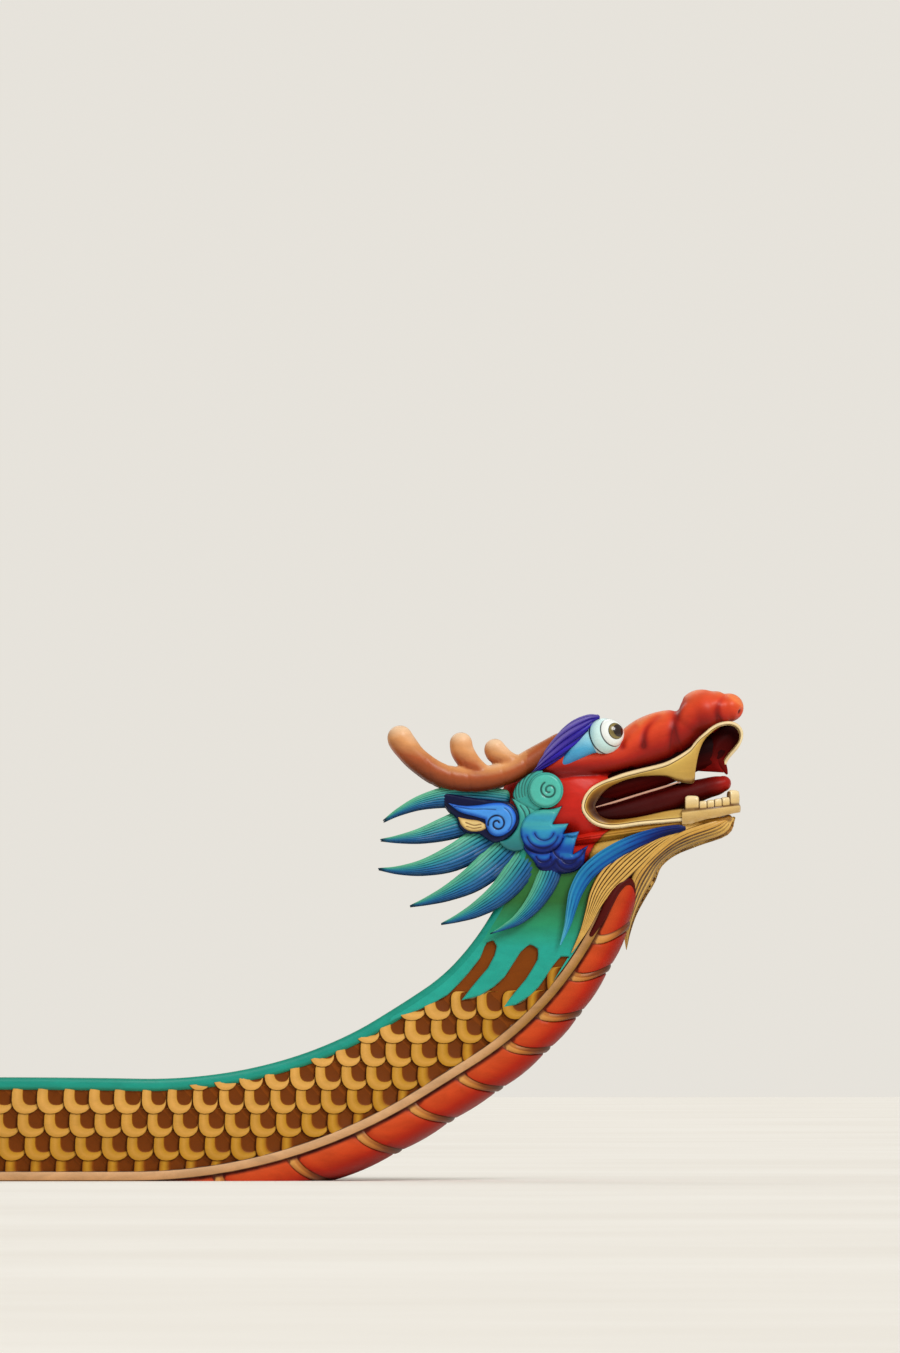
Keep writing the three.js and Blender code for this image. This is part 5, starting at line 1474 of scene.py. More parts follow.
def cloud_lobes(flat, inward):
    height = np.full(len(flat), 150.0)
    for x, z, radius, level, crown in CLOUD_LOBES:
        gap = np.hypot(flat[:, 0] - x, flat[:, 1] - z) / radius
        height = np.where(gap < 1, level + crown * np.sqrt(np.clip(1 - gap**2, 0, 1)), height)
    flame = np.clip((flat[:, 0] + 60) / 60, 0, 1) * (flat[:, 1] > -165)
    height = np.maximum(height, 150 + 12 * flame)
    cut = lines_cut(flat, CLOUD_ARCS, 3.4)
    tone = np.clip((-70 - flat[:, 1]) / 235, 0, 1) + 0.1 * np.sin(flat[:, 1] / 9)
    # each lobe is painted lighter in its middle and darker towards its lower rim, as painted light and
    # shade on the dome
    for x, z, radius, level, crown in CLOUD_LOBES:
        gap = np.hypot(flat[:, 0] - x, flat[:, 1] - z) / radius
        tone = tone + np.where(gap < 1, 0.3 * gap**3 - 0.12, 0) * (flat[:, 1] < z + 10)
    # a band beside each arc is painted darker, as painted shade
    tone = tone + 0.3 * lines_cut(flat, CLOUD_ARCS, 9)
    edge = np.clip(1 - inward / 4, 0, 1)
    # the lowest part of the cloud is inked darker, as painted shade underneath
    low = np.clip((-262 - flat[:, 1]) / 30, 0, 1) * 0.6
    return (136 + (height - 136) * rim(inward, 12) - 3.5 * cut, np.clip(tone, 0, 1),
            np.maximum.reduce([0.75 * cut, edge, low]))


relief(piece, CLOUD, cloud_lobes, 124, step=5.0, lines=CLOUD_ARCS, sharp=42)
piece.make_pair("cloud_carving", [CLOUD_PAINT], ["cheek_cloud"])

# %% [markdown]
# The ear is three reliefs, one on the other: a dark backing, a blue swirl, and a tan leaf in
# the hollow below the swirl.

# %% Ears
EAR_PAINT = painted(
    "ear_paint", [(0.0, "#4A98E8"), (0.4, "#2E72DA"), (0.75, "#184AB4"), (1.0, "#070E3A")],
    ink="#050930", worn_and_highlit="#A0C8F8", wear_and_highlight=0.15, shine=0.15)
TAN_PAINT = painted(
    "ear_tan_paint", [(0.0, "#EACB84"), (1.0, "#B8883C")], ink="#7A5020", rough=0.38, coat=0.25)
EAR = [
    (-444, -3), (-360, -20), (-287, -32), (-229, -39), (-179, -48), (-152, -79), (-148, -123),
    (-174, -159), (-212, -186), (-240, -190), (-268, -176), (-292, -160), (-336, -157),
    (-364, -134), (-372, -106), (-405, -73),
]
SWIRL = [
    (-412, -44), (-350, -56), (-295, -54), (-240, -46), (-201, -48), (-170, -68), (-157, -104),
    (-168, -136), (-190, -158), (-224, -170), (-252, -160), (-266, -138), (-272, -108),
    (-306, -98), (-360, -82),
]
SWIRL_SPIRAL = arc(-226, -122, 34, 190, -330, 0.8)
SWIRL_ARCS = [arc(-226, -112, 52, 60, -40), [(-380, -60), (-320, -70), (-270, -70), (-232, -72)]]
TAN = [
    (-368, -98), (-330, -106), (-290, -112), (-268, -124), (-266, -140), (-288, -149),
    (-330, -147), (-354, -130),
]
TAN_ARCS = [[(-340, -118), (-310, -128), (-284, -124)], [(-336, -132), (-312, -139), (-284, -135)]]

piece = Piece()


def backing(flat, inward):
    return 138 + 14 * rim(inward, 12), 1.0, 0.6 * (inward < 2)


relief(piece, EAR, backing, 126, step=8.0)


def swirl(flat, inward):
    cut = np.maximum(lines_cut(flat, [SWIRL_SPIRAL], 4), 0.7 * lines_cut(flat, SWIRL_ARCS, 3))
    height = 150 + 18 * rim(inward, 18) - 5 * cut
    # the swirl is painted darker towards its rounded edge, as painted shade
    return height, np.clip(0.75 - inward / 22, 0.05, 1), np.maximum(cut, inward < 1.5)


relief(piece, SWIRL, swirl, 146, step=4.5, lines=[SWIRL_SPIRAL, *SWIRL_ARCS])


def tan(flat, inward):
    cut = lines_cut(flat, TAN_ARCS, 2.5)
    # the leaf is painted darker towards its rounded edge, as painted shade
    return 150 + 9 * rim(inward, 10) - 2.5 * cut, 0.8 - np.clip(inward / 14, 0, 0.8), cut


relief(piece, TAN, tan, 146, step=5.0, lines=TAN_ARCS, paint=lambda middles: np.ones(len(middles)))
piece.make_pair("ear_carving", [EAR_PAINT, TAN_PAINT], ["ear"])

# %% [markdown]
# ## Mane, jaw strands and beard
# Hair is carved as pointed locks with fine grooves along them. A mane lock is one limb with
# many grooves. The beard is made of separate strands laid side by side, each on its own path
# between a front edge and a rear edge, because its grooves fan out from the chin and meet
# again at the tips of the locks.

# %% Mane and jaw strands
MANE_PAINT = painted(
    "mane_paint", [(0.0, "#5AB08C"), (0.3, "#2A8E92"), (0.6, "#186096"), (1.0, "#0E2E66")],
    ink="#06263A", coat=0.08, worn_and_highlit="#A8E4C8", shine=0.15)
MANE = [
    [[-200, 90, -34, 20, 36], [-300, 102, -24, 22, 42], [-400, 126, -24, 20, 38],
     [-500, 172, -44, 13, 25], [-580, 200, -78, 7, 12], [-636, 213, -112, 1, 2]],
    [[-200, 90, -70, 20, 40], [-318, 104, -106, 22, 48], [-410, 134, -138, 20, 42],
     [-500, 178, -164, 14, 27], [-580, 203, -176, 7, 13], [-646, 214, -180, 1, 2]],
    [[-176, 94, -118, 20, 44], [-290, 112, -190, 24, 54], [-390, 160, -246, 21, 46],
     [-490, 190, -278, 14, 29], [-580, 202, -288, 7, 14], [-654, 208, -284, 1, 2]],
    [[-130, 96, -150, 20, 44], [-222, 118, -244, 24, 54], [-310, 162, -318, 21, 46],
     [-400, 186, -368, 14, 29], [-476, 198, -398, 7, 14], [-540, 204, -418, 1, 2]],
    [[-84, 98, -180, 20, 42], [-140, 126, -280, 23, 52], [-212, 158, -368, 20, 44],
     [-294, 180, -426, 14, 29], [-366, 192, -460, 7, 14], [-428, 198, -482, 1, 2]],
    [[-14, 104, -200, 20, 36], [-40, 134, -306, 20, 42], [-86, 158, -396, 17, 34],
     [-146, 174, -462, 11, 22], [-204, 184, -496, 5, 10], [-252, 188, -518, 1, 2]],
]
STRAND_PAINT = painted(
    "strand_paint", [(0.0, "#5AB6CE"), (0.3, "#1E7AAE"), (0.6, "#0A4896"), (0.8, "#061E66"),
    (1.0, "#040C40")], ink="#060E38", coat=0.05, worn_and_highlit="#90D8F0", wear_and_highlight=0.15, shine=0.12)
JAW_STRANDS, JAW_TWIST = 9, 0.5
JAW_STRAND = [
    [446, 90, -138, 6, 9], [424, 93, -140, 9, 15], [360, 102, -153, 12, 20], [288, 112, -178, 15, 26],
    [216, 124, -211, 17, 29], [144, 138, -256, 18, 30], [90, 150, -306, 17, 29], [56, 158, -367, 15, 25],
    [40, 162, -425, 12, 19], [26, 164, -486, 8, 12], [0, 164, -558, 1, 2],
]

piece = Piece()
for rows in MANE:
    grid, share, angle, ink = limb(rows, 100, 7, True, False, grooves(20, 0.2, 0.2, 0.64))
    tone = np.clip(0.5 + 0.5 * np.sin(angle) - 0.15 * share, 0, 1)
    tip = np.clip((share - 0.9) * 9, 0, 0.9)
    under = np.clip(np.sin(angle) * 8 - 7.2, 0, 1)
    piece.solid(on_head(grid), tone, np.maximum.reduce([ink, tip, under]))
piece.make_pair("mane_locks", [MANE_PAINT], ["mane"], sharp=70)

piece = Piece()
grid, share, angle, ink = limb(
    JAW_STRAND, 64, 8, True, False, grooves(JAW_STRANDS, 0.16, JAW_TWIST, 0.2))
strand = strands(share, angle, JAW_STRANDS, JAW_TWIST)
tone = np.interp(share, [0, 0.22, 0.45, 0.85, 1], [1.0, 0.95, 0.5, 0.36, 0.1])
# the strand is painted lighter along its upper side and on the crest of each twist: painted light and
# highlights
tone = tone - 0.2 * (strand - 0.5) * np.clip(2 * share, 0, 1) + 0.16 * np.sin(angle)
piece.solid(on_head(grid), np.clip(tone, 0, 1), 0.8 * ink)
piece.make_pair("jaw_strand_carving", [STRAND_PAINT], ["jaw_strand"], sharp=70)

# %% [markdown]
# The beard parts into two locks over the dark arch at the throat. Its strands are spaced by
# their distance across the run of the hair, so that a groove stays open between any two.

# %% Beard
BELLY_EDGE = painted(
    "belly_edge_paint", [(0.0, "#5A0E08"), (1.0, "#3A0604")], rough=0.45, coat=0.0, wear_and_highlight=0.0,
    shine=0.1)
# Each path runs from the chin to the tip of a lock. Columns: x, z, y, half size of a strand.
FRONT_EDGE = [
    (626, -100, 0, 7), (598, -152, 0, 9), (496, -188, 0, 11), (412, -222, 0, 12),
    (356, -266, 0, 13), (328, -326, 0, 12), (297, -384, 0, 11), (268, -448, 0, 9),
    (250, -512, 0, 7), (239, -574, 0, 2),
]
FRONT_INNER = [
    (596, -104, 44, 7), (540, -122, 66, 9), (450, -152, 82, 11), (390, -186, 88, 12),
    (326, -240, 96, 13), (276, -296, 96, 12), (256, -350, 78, 11), (243, -420, 52, 9),
    (232, -492, 26, 7), (238, -570, 2, 2),
]
REAR_OUTER = [
    (580, -106, 50, 7), (510, -126, 74, 9), (420, -158, 90, 11), (356, -200, 98, 12),
    (296, -256, 108, 13), (232, -318, 120, 13), (180, -368, 134, 12), (140, -424, 142, 10),
    (100, -500, 146, 8), (44, -584, 144, 2),
]
REAR_EDGE = [
    (452, -124, 84, 6), (400, -148, 94, 8), (330, -172, 104, 10), (262, -204, 114, 12),
    (196, -246, 124, 13), (146, -302, 136, 13), (112, -366, 146, 12), (94, -434, 150, 10),
    (74, -506, 150, 8), (40, -586, 146, 2),
]
THROAT = [
    [-20, 0, -222, 90, 40], [100, 0, -226, 104, 52], [220, 0, -194, 94, 42], [330, 0, -160, 82, 28],
    [420, 0, -140, 74, 16],
]
ARCH_EDGE = [
    [112, 134, -520, 8, 8], [146, 136, -464, 14, 14], [176, 134, -404, 17, 17], [200, 126, -362, 16, 16],
    [227, 114, -333, 15, 15], [250, 98, -331, 14, 14], [262, 79, -360, 10, 10], [254, 60, -404, 8, 8],
    [238, 42, -455, 6, 6],
]
BEARD = [
    [600, 0, -122, 40, 10], [504, 0, -148, 64, 26], [418, 0, -178, 76, 36], [340, 0, -222, 86, 36],
    [286, 0, -266, 96, 44], [248, 0, -300, 104, 40],
]


def strands_between(piece, first, last, count):
    """Strands of hair, evenly spaced from a first path to a last one, on both sides."""
    first, last = (smooth_rows(rows, 4) for rows in (first, last))
    across, along = (last - first)[:, :3], unit(np.gradient(first[:, :3] + last[:, :3], axis=0))
    across = across - (across * along).sum(1, keepdims=True) * along
    apart = np.linalg.norm(across, axis=1) / (count - 1)
    at_front = first[:, 2].max() == 0
    for share in np.linspace(0, 1, count):
        rows = first + (last - first) * share
        # at the front of the chin the section is round, so the strands follow a circle
        if at_front:
            rows[:, 2] = last[:, 2] * math.sin(share * math.pi / 2)
        half = np.maximum(0.66 * apart, 4.5 * (1 - np.linspace(0, 1, len(rows)) ** 6) + 1)
        path = np.stack([rows[:, 0], rows[:, 2], rows[:, 1], half, half], -1)
        grid, share_along, angle = limb(path, 16, 1, True, False)[:3]
        light = 0.5 - 0.5 * np.cos(angle)
        tone = np.clip(0.2 + 0.5 * light + 0.1 * math.sin(share * 57), 0, 1)
        valley = np.clip(np.abs(np.sin(angle)) * 5 - 1.8, 0, 1)
        valley = valley * np.clip(share_along * 3, 0.3, 1) * (0.4 + 0.6 * share if at_front else 1.0)
        add_both(piece, grid, tone, valley)


piece = Piece()
for rows, paint in ((THROAT, 2), (BEARD, 1)):
    grid, share, angle, ink = limb(rows, 36, 12, True, True)
    piece.solid(on_head(grid), jaw_tone(grid, 0.25), 0.0, paint)
strands_between(piece, FRONT_EDGE, FRONT_INNER, 6)
strands_between(piece, REAR_OUTER, REAR_EDGE, 7)
grid, share, angle, ink = limb(ARCH_EDGE, 16, 6, True, True)
add_both(piece, grid, 0.5, ink, 1)
piece.make("beard_locks", [HAIR_PAINT, BELLY_EDGE, JAW_PAINT], ["beard"], sharp=70)

# %% [markdown]
# ## The collar
# Where the head meets the neck, a teal collar hangs over the scales in long pointed tongues,
# with brown slots between them. It is a thin relief laid on the neck's planks. Each of its
# points is matched to the nearest place on the moulding's line, which gives the planks'
# breadth there.

# %% Collar
COLLAR_PAINT = painted(
    "collar_paint", [(0.0, "#0E9E8C"), (0.5, "#188E60"), (1.0, "#226A28")], ink="#7A4A14",
    rough=0.38, coat=0.3, worn_and_highlit="#7FD8C0", wear_and_highlight=0.2)
# Where HEAD is in the picture, and how many millimetres one of its pixels stands for.
HEAD_PIXEL, PIXEL = (560, 790), 3.6


def neck_breadth(flat):
    """The breadth of the neck's side at points x, z of the head's own frame."""
    x, z = flat[:, 0] + HEAD[0], flat[:, 1] + HEAD[2]
    near = LINE[LINE[:, 0] > 4000]
    index = np.argmin(np.hypot(x[:, None] - near[:, 1], z[:, None] - near[:, 2]), axis=1)
    d, lean = near[index, 0], near[index, 3]
    up = (x - near[index, 1]) * np.sin(lean) + (z - near[index, 2]) * np.cos(lean)
    share = (up - MOULDING_TOP) / (plank_top(d) - MOULDING_TOP)
    return low_at(d) + (half_at(d) - low_at(d)) * share


def from_picture(*points):
    """Points of the picture, in pixels, as x, z from HEAD."""
    return [((x - HEAD_PIXEL[0]) * PIXEL, (HEAD_PIXEL[1] - z) * PIXEL) for x, z in points]


TONGUES = from_picture(
    (390, 1023), (400, 1018), (412, 1013), (424, 1008), (436, 1002), (448, 995), (459, 984),
    (469, 973), (480, 959), (487, 943), (493, 941), (496, 946), (494, 955), (487, 968), (475, 982),
    (460, 1001), (480, 996), (494, 987), (505, 977), (512, 966), (521, 952), (530, 945),
    (537, 949), (537, 959), (532, 968), (525, 979), (500, 1009), (516, 1005), (530, 996),
    (539, 987), (546, 977), (553, 966), (561, 957), (568, 957),
)


def beside_line(up, start, end):
    """Points x, z from HEAD along the hull's line, at a height above it that up works out."""
    d = stops(start, end, 40)
    return (on_boat(d, 0, up(d)) / MM - HEAD)[:, [0, 2]].tolist()


rail_side = beside_line(lambda d: plank_top(d) + 20, COLLAR_START, NECK_END - 20)
moulding_side = beside_line(lambda d: MOULDING_TOP + 2 + 0 * d, 5720, NECK_END - 20)
piece = Piece()


def collar_surface(flat, inward):
    # the collar is painted a darker green towards its top, as painted shade under the mane
    tone = np.clip((flat[:, 1] + 570) / 170, 0, 1)
    free = distance_to(flat, TONGUES)
    return neck_breadth(flat) + 13 * rim(free, 9), tone, np.clip(1 - free / 3.5, 0, 1)


relief(piece, rail_side[::-1] + TONGUES + moulding_side, collar_surface,
       lambda flat: neck_breadth(flat) - 6, step=8.0, edge=8.0, sharp=85)
piece.make_pair("neck_collar", [COLLAR_PAINT], sharp=60)

# %% [markdown]
# ## Decks and woodwork
# Short decks close the bow and the stern between the rails. They are laid in planks, so each
# is one skin with a groove at every seam. The benches, ribs, bulkheads and seat are plain
# sawn boards: a copy of each plain piece has its edges rounded as sandpaper would, and gets
# grain and oil.

# %% Decks
DECK_PLANKS, SEAM_DEPTH = 5, 3.5
DECKS = (("bow", "fore_deck", NECK_JOINT, NECK_END), ("stern", "aft_deck", TAIL_END, TAIL_JOINT))

seam = np.linspace(-1, 1, DECK_PLANKS + 1)
beside = [seam[1:-1] + shift for shift in (-0.03, -0.012, 0.012, 0.03)]
across = np.unique(np.concatenate([seam, *beside]))
near = np.min(np.abs(across[:, None] - seam[1:-1]), axis=1)
dip = SEAM_DEPTH * np.clip(1 - near / 0.03, 0, 1)
for name, node_name, start, end in DECKS:
    d = stops(start + 1, end - 1, 50)[:, None]
    half = half_at(d) - RAIL_WIDTH - GAP
    top = rail_at(d) - 6 - dip - 3 * np.abs(across) ** 8
    y = np.hstack([half * across, half * across[::-1]])
    up = np.hstack([top, rail_at(d) - RAIL_HEIGHT + 0 * top])
    ink = np.concatenate([np.clip(1 - near / 0.02, 0, 1), near * 0])
    piece = Piece()
    piece.solid(on_boat(d, y, up), 0.35, ink)
    piece.make(f"{name}_deck_planks", [TEAL_PAINT], [node_name])

# %% [markdown]
# A bevel can only round an edge that is whole. So the copy of a plain board is first freed of
# doubled points and of the edges that cross its flat faces.

# %% Boards with rounded edges
BOARD_CORNER = math.radians(30)


def rounded_board(name, paint, radius=5, body="boat"):
    """A copy of a plain piece with its sharp edges rounded."""
    shape = bmesh.new()
    shape.from_mesh(bpy.data.objects[name].data)
    bmesh.ops.remove_doubles(shape, verts=shape.verts, dist=0.0002)
    bmesh.ops.dissolve_limit(shape, angle_limit=math.radians(1.5), verts=shape.verts, edges=shape.edges)
    sharp = [edge for edge in shape.edges
             if edge.is_manifold and edge.calc_face_angle() > BOARD_CORNER]
    bmesh.ops.bevel(shape, geom=sharp, offset=radius * MM, offset_type="OFFSET", segments=3,
                    profile=0.5, affect="EDGES", clamp_overlap=True)
    mesh = bpy.data.meshes.new(name + "_board")
    shape.to_mesh(mesh)
    shape.free()
    piece = Piece()
    points = np.empty(len(mesh.vertices) * 3)
    mesh.vertices.foreach_get("co", points)
    piece.add(points.reshape(-1, 3), [list(face.vertices) for face in mesh.polygons])
    bpy.data.meshes.remove(mesh)
    return piece.make(name + "_board", [paint], [name], body=body, sharp=40)


BENCHES = [f"bench_{row}" for row in range(1, 10)]
for name in ("ribs_and_keelson", "fore_bulkhead", "aft_bulkhead"):
    rounded_board(name, FLOOR_WOOD, 4)
for name in (*BENCHES, "drum_bench", "drummer_seat", "steering_arm"):
    rounded_board(name, BENCH_WOOD, 5)

# %% [markdown]
# Pegs hold the benches to the planks, and bolts hold the arm of the steering oar. Only their
# domed heads show.

# %% Pegs and bolts
BENCH_TOP, FORE_BENCH, BENCH_GAP = 259, 1950, 700

piece = Piece()
arm = np.array(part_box("steering_arm")) / MM
# for each board: x, then how far fore and aft of it and how far in from the rail its heads
# are, their height, and their size
places = [(FORE_BENCH - BENCH_GAP * row, 62, 78, BENCH_TOP, 8) for row in range(9)]
places += [(2680, 215, 78, BENCH_TOP, 8), (arm[:, 0].mean(), 22, 22, arm[1, 2], 10)]
for x, reach, inside, top, size in places:
    for at in (x - reach, x + reach):
        for side in (1, -1):
            middle = (at, side * (half_at(at) - inside), top - 2)
            dome = ball(middle, size, (0, 0, 1), np.linspace(0.1, 1.9, 6), 12)
            piece.solid(dome * MM, 0.3, 0.0)
piece.make("peg_heads", [IRON])

# %% [markdown]
# ## The drum
# A drummer's barrel stands on its own bench. Its staves are lacquered red, and each skin is
# held by a row of brass tacks. The barrel is turned from a profile. The tacks are small domes
# set round it by a loop, because evenly spaced tacks are what a drum maker aims for.

# %% Drum
DRUM = np.array([2680, 0, 259.3])
TACKS, TACK_HEIGHTS, TACK_RING, TACK_SIZE = 36, (12, 388), 199, 5.5
DRUM_PAINT = painted(
    "drum_paint", [(0.0, "#D42A1E"), (0.6, "#B01C14"), (1.0, "#6A0C0A")], ink="#3A0605", rough=0.25,
    coat=0.6, worn_and_highlit="#E06040", wear_and_highlight=0.3)
SKIN_PAINT = painted(
    "drum_skin_paint", [(0.0, "#F0E6CC"), (0.7, "#DCCBA4"), (1.0, "#B09468")], ink="#8A6A40",
    rough=0.7, coat=0.0, depth=0.12, bump=0.15, wear_and_highlight=0.1)
BRASS = painted(
    "brass", [(0.0, "#E8C060"), (1.0, "#A87A28")], ink="#5A3C10", rough=0.3, coat=0.0, depth=0.1,
    bump=0.1, wear_and_highlight=0.4, worn_and_highlit="#FFF0B0", metallic=1.0)
# Columns: radius, height, tone, ink, paint. The tone is lightest round the barrel's widest part,
# a painted highlight.
BARREL = np.array([
    [40, 0, 0.5, 0, 0], [196, 0, 0.6, 0, 0], [200, 4, 0.4, 0, 0], [204, 22, 0.2, 1, 2],
    [207, 26, 0.2, 0, 2], [212, 44, 0.3, 0, 2], [213, 48, 0.3, 1, 0], [222, 100, 0.3, 0, 0],
    [230, 160, 0.15, 0, 0], [232, 200, 0.1, 0, 0], [230, 240, 0.15, 0, 0], [222, 300, 0.3, 0, 0],
    [213, 352, 0.3, 1, 2], [212, 356, 0.2, 0, 2], [207, 374, 0.3, 0, 2], [204, 378, 0.2, 1, 0],
    [200, 399, 0.5, 0, 0], [60, 399.5, 0.6, 0, 0],
])
DRUM_SKIN = np.array([
    [40, 1, 0.2, 0, 0], [198, 1, 0.4, 0, 0], [203, 2, 0.6, 0, 0], [204, 6, 0.6, 0.4, 0],
    [201, 10, 0.4, 0, 0], [196, 11, 0.3, 0.5, 0], [180, 12, 0.1, 0, 0], [120, 13, 0.0, 0, 0],
    [40, 13.6, 0.1, 0, 0],
])


def turned(piece, profile, foot, around=64, staves=0):
    """A profile turned round the upright axis through its foot, with seams between staves."""
    angle = np.linspace(0, 2 * math.pi, around, endpoint=False)
    radius, height, tone, ink, paint = profile.T
    gap = np.abs(np.sin(staves * angle / 2)) if staves else np.ones(around)
    size = radius[:, None] - 1.5 * np.clip(1 - gap / 0.2, 0, 1) * (paint[:, None] == 0)
    grid = np.stack([size * np.cos(angle), size * np.sin(angle), height[:, None] + 0 * size], -1)
    seams = np.clip(1 - gap / 0.2, 0, 1) * 0.7 * (paint[:, None] == 0)
    piece.solid((grid + foot) * MM, tone[:, None], np.maximum(ink[:, None], seams),
               paint[:-1, None].astype(int))


barrel = Piece()
turned(barrel, BARREL, DRUM, 96, 24)
for height in TACK_HEIGHTS:
    for angle in np.linspace(0, 2 * math.pi, TACKS, endpoint=False):
        out = np.array([math.cos(angle), math.sin(angle), 0])
        foot = DRUM + out * TACK_RING + [0, 0, height]
        dome = ball(foot, TACK_SIZE, out, np.linspace(0.1, 2.4, 6), 8)
        barrel.solid(dome * MM, 0.2, 0.0, 2)
barrel.make("drum_staves", [DRUM_PAINT, DRUM_PAINT, BRASS], ["drum_barrel"], sharp=40)
skin = Piece()
turned(skin, DRUM_SKIN, DRUM + [0, 0, 400.3])
skin.make("drum_hide", [SKIN_PAINT], ["drum_head"], sharp=60)

# %% [markdown]
# ## The steering oar
# The helm stands at the stern with a long oar in an iron fork. The fork turns on a spindle in
# the arm, and the oar tips on the fork's pin, so the oar rides on one body and the fork on
# another. The blade has a ridge down its middle, which is what keeps a thin blade stiff.

# %% Steering oar and fork
PIVOT, OAR_SLOPE, GRIP_START = np.array([-4180, 560, 512]), math.radians(27), 994
# the share of the oar's rings that form its blade
BLADE_SHARE = 0.22
OAR_WOOD = wooden("oar_wood", "#CC9858", "#8A5828", 1.3, 0.42, 0.3, wear_and_highlight=0.4)
GRIP_PAINT = painted("grip_paint", [(0.0, "#B02418"), (1.0, "#701008")], rough=0.4)
# Columns: distance forward of the pin, half width, half depth.
OAR = np.array([
    [-1716, 5, 70], [-1708, 7, 86], [-1690, 9, 94], [-1600, 10, 99], [-1480, 11, 100],
    [-1330, 12, 86], [-1220, 13, 64], [-1120, 15, 38], [-1040, 18, 24], [-960, 21, 22],
    [-900, 24, 24], [-300, 24, 24], [-60, 24, 24], [60, 24, 24], [300, 24, 24], [700, 20.5, 20.5],
    [860, 19, 19], [990, 19, 19], [1000, 21, 20], [1015, 26, 24], [1034, 26, 24], [1050, 24, 22],
    [1060, 18, 16],
])

along = np.array([math.cos(OAR_SLOPE), 0, math.sin(OAR_SLOPE)])
rows = np.hstack([PIVOT + along * OAR[:, :1], OAR[:, 1:3]])


def ridge(share, angle):
    blade = np.clip((BLADE_SHARE - share) / 0.06, 0, 1)
    middle = np.exp(-(np.sin(angle) / 0.16) ** 2)
    return 1 + blade * (0.7 * middle - 0.1), 0.0 * share


grid, share, angle, ink = limb(rows, 36, 3, carve=ridge)
on_grip = smooth_rows(OAR, 3)[:-1, :1] > GRIP_START
paint = np.broadcast_to(on_grip, share[:-1].shape).astype(int)
piece = Piece()
piece.solid(grid * MM, 0.3, ink, paint)
piece.make("oar_carving", [OAR_WOOD, GRIP_PAINT], ["steering_oar"], body="oar", sharp=60)
rounded_board("oar_fork", IRON, 1.5, "fork")

# %% [markdown]
# ## The tail
# The picture stops before the stern, so the tail follows the head: a scaled stem that curls
# forward, with flame-like locks in the colours of the mane along its back.

# %% Tail
# Columns: x, y, z, half width, half depth.
TAIL_STEM = [
    [-5536, 0, 872, 54, 80], [-5530, 0, 980, 50, 72], [-5510, 0, 1080, 44, 62], [-5470, 0, 1170, 36, 50],
    [-5405, 0, 1240, 27, 38], [-5325, 0, 1275, 17, 24], [-5258, 0, 1268, 3, 4],
]
TAIL_SPINE = [
    [-5598, 0, 830, 16, 30], [-5602, 0, 980, 17, 30], [-5576, 0, 1085, 16, 28], [-5526, 0, 1188, 14, 26],
    [-5452, 0, 1268, 11, 22], [-5372, 0, 1310, 5, 10],
]
# The flames have x and z only, from the root to the tip, and share the sizes in FLAME_HALF.
TAIL_FLAMES = [
    [[-5596, 858], [-5710, 846], [-5830, 876], [-5905, 920], [-5944, 954]],
    [[-5596, 936], [-5716, 954], [-5826, 1014], [-5888, 1074], [-5924, 1120]],
    [[-5588, 1016], [-5694, 1068], [-5786, 1158], [-5828, 1230], [-5848, 1286]],
    [[-5556, 1100], [-5644, 1178], [-5708, 1280], [-5727, 1350], [-5731, 1406]],
    [[-5504, 1180], [-5562, 1278], [-5590, 1382], [-5588, 1446], [-5575, 1498]],
    [[-5436, 1246], [-5468, 1342], [-5464, 1434], [-5444, 1482], [-5412, 1522]],
]
FLAME_HALF = [[24, 46], [21, 46], [15, 32], [7, 15], [1, 2]]
STEM_ROWS, SCALES_ROUND = 13, 10


def stem_scales(share, angle):
    """Staggered scales on the stem: how far up from its lower edge each point lies in its scale."""
    row = share * STEM_ROWS
    turn = angle * SCALES_ROUND / (2 * math.pi) + 0.5 * (np.floor(row) % 2)
    across = np.abs(turn - np.floor(turn) - 0.5) * 2
    return row - np.floor(row) - 0.7 * across**2


def carve_stem(share, angle):
    up = stem_scales(share, angle)
    on_rim = np.clip(up / 0.08, 0, 1) * np.clip((0.46 - up) / 0.1, 0, 1)
    return 0.95 + 0.05 * on_rim, np.clip(1 - np.abs(up - 0.02) / 0.08, 0, 1)


piece = Piece()
grid, share, angle, ink = limb(TAIL_STEM, 120, 22, False, False, carve_stem)
up = stem_scales(share, angle)
on_rim = (up > 0) & (up < 0.42)
piece.solid(grid * MM, np.where(on_rim, 0.15, 0.8), ink)
piece.make("tail_stem_scales", [SCALE_PAINT], ["tail_stem"], sharp=70)
flames = Piece()
grid, share, angle, ink = limb(TAIL_SPINE, 40, 6, True, True, grooves(8, 0.15))
flames.solid(grid * MM, 0.75, 0.8 * ink)
for path in TAIL_FLAMES:
    rows = [[x, 0, z, *half] for (x, z), half in zip(path, FLAME_HALF)]
    grid, share, angle, ink = limb(rows, 96, 8, True, False, grooves(18, 0.2, 0.25, 0.34))
    tone = np.clip(0.46 - 0.5 * np.sin(angle) - 0.1 * share, 0, 1)
    tip = np.clip((share - 0.9) * 9, 0, 0.9)
    flames.solid(grid * MM, tone, np.maximum(0.8 * ink, tip))
flames.make("tail_flame_locks", [MANE_PAINT], ["tail_flames"], sharp=70)

# %% [markdown]
# ## Floor, light and view
# The boat is shown as it floats, so the plain pale floor stands in for the water, at the
# waterline. Large soft lamps leave the paint its own colours. The view looks up a little at
# the bow, straight from the starboard side, as the picture does.

# %% Floor
FLOOR_HALF = 120.0


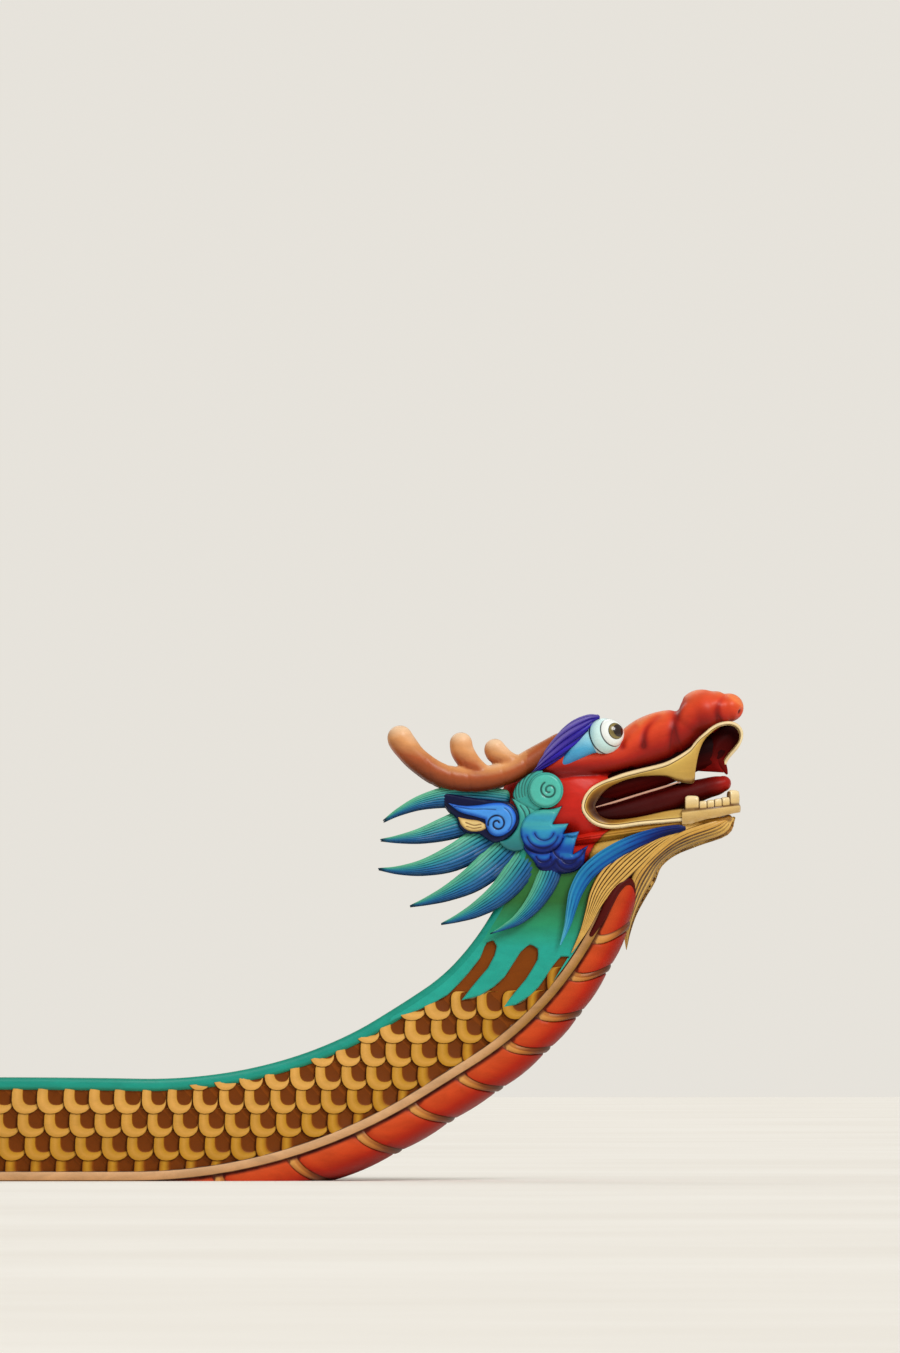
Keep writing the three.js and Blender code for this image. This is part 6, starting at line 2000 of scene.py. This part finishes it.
def waterline():
    """Points along the middle of the hull's planking where the water's surface meets it."""
    d = stops(TAIL_END, NECK_END, 25)
    z, lean = (np.interp(d, LINE[:, 0], LINE[:, k]) for k in (2, 3))
    up, top = -z / np.cos(lean), -MOULDING_TOP - GAP
    deep = (top - up) / (belly_at(d) + top)
    rise = np.clip(deep, 0, 1) ** (1 / BELLY_FULLNESS)
    y = low_at(d) * (1 - rise**2) ** (BELLY_FULLNESS / 2) - PLANK / 2
    keep = (deep < 1) & (y > 0)
    return on_boat(d[keep], y[keep], up[keep]).reshape(-1, 3)


edge = waterline()
count = len(edge)
x, y, flat, far = edge[:, 0], edge[:, 1], edge[:, 0] * 0, FLOOR_HALF + edge[:, 0] * 0
points = np.vstack([np.stack([x, side, flat], -1) for side in (far, y, -y, -far)])
faces = []
for row in (0, 2):
    a = row * count + np.arange(count - 1)
    faces += np.stack([a, a + count, a + count + 1, a + 1], -1).tolist()
for place, corner in ((0, -FLOOR_HALF), (count - 1, FLOOR_HALF)):
    first = len(points)
    points = np.vstack([points, [[corner, FLOOR_HALF, 0], [corner, -FLOOR_HALF, 0]]])
    faces.append([first, first + 1, *(place + row * count for row in (3, 2, 1, 0))])
mesh = bpy.data.meshes.new("water_level")
mesh.from_pydata(points.tolist(), [], faces)
material = new_material("pale_floor")
tree = material.node_tree
place = node(tree, "TexCoord").outputs["Object"]
tint = ramp(tree, noise(tree, place, 0.35), [(0.35, "#F0ECE4"), (0.65, "#F6F3EC")])
mesh.materials.append(shade(material, tint, 0.85, noise(tree, place, 40.0), 0.02))
floor = bpy.data.objects.new("water_level", mesh)
bpy.context.scene.collection.objects.link(floor)
print("waterline from", edge[0, 0], "to", edge[-1, 0], "m")

# %% Lamps
# Columns: name, x, y, z that the light comes from, its strength, and the width of its glow.
LAMPS = (
    ("key", 0.50, -0.66, 0.70, 2.0, 24),
    ("fill", -0.8, -0.9, 0.25, 0.3, 60),
    ("back", -0.3, 0.9, 0.7, 0.4, 40),
)
LAMP_AWAY, SKY_LIGHT, SKY_SEEN = 8, 0.5, 0.88

for name, x, y, z, strength, width in LAMPS:
    lamp = bpy.data.lights.new(name, "SUN")
    lamp.energy, lamp.angle = strength, math.radians(width)
    made = bpy.data.objects.new(name, lamp)
    made.location = Vector((x, y, z)) * LAMP_AWAY
    made.rotation_euler = Vector((-x, -y, -z)).to_track_quat("-Z", "Y").to_euler()
    bpy.context.scene.collection.objects.link(made)

# %% Sky
world = bpy.data.worlds.new("studio")
bpy.context.scene.world = world
world.use_nodes = True
light = world.node_tree.nodes["Background"]
light.inputs["Color"].default_value = linear("#F4F0E8")
seen = node(world.node_tree, "LightPath").outputs["Is Camera Ray"]
strength = mapped(world.node_tree, seen, 0.0, 1.0, SKY_LIGHT, SKY_SEEN)
world.node_tree.links.new(strength, light.inputs["Strength"])

bpy.context.scene.view_settings.view_transform = "Standard"

# %% [markdown]
# The drawing has hardly any perspective, so the camera stands far off and uses a long lens.
# Its height is a little above the water, and it looks up at the middle of the picture.

# %% View of the picture
VIEW_X, VIEW_HEIGHT, EYE_HEIGHT, AWAY = 5.138, 1.814, 0.45, 60.0
SEEN_HEIGHT, SENSOR = 4.871, 36.0

data = bpy.data.cameras.new("picture_view")
data.sensor_width, data.lens = SENSOR, SENSOR * AWAY / SEEN_HEIGHT
data.clip_end = 400.0
camera = bpy.data.objects.new("picture_view", data)
camera.location = (VIEW_X, -AWAY, EYE_HEIGHT)
aim = Vector((VIEW_X, 0.0, VIEW_HEIGHT))
camera.rotation_euler = (aim - camera.location).to_track_quat("-Z", "Y").to_euler()
print("camera", camera.location[:], "with a lens of", round(data.lens), "mm")
bpy.context.scene.collection.objects.link(camera)
bpy.context.scene.camera = camera
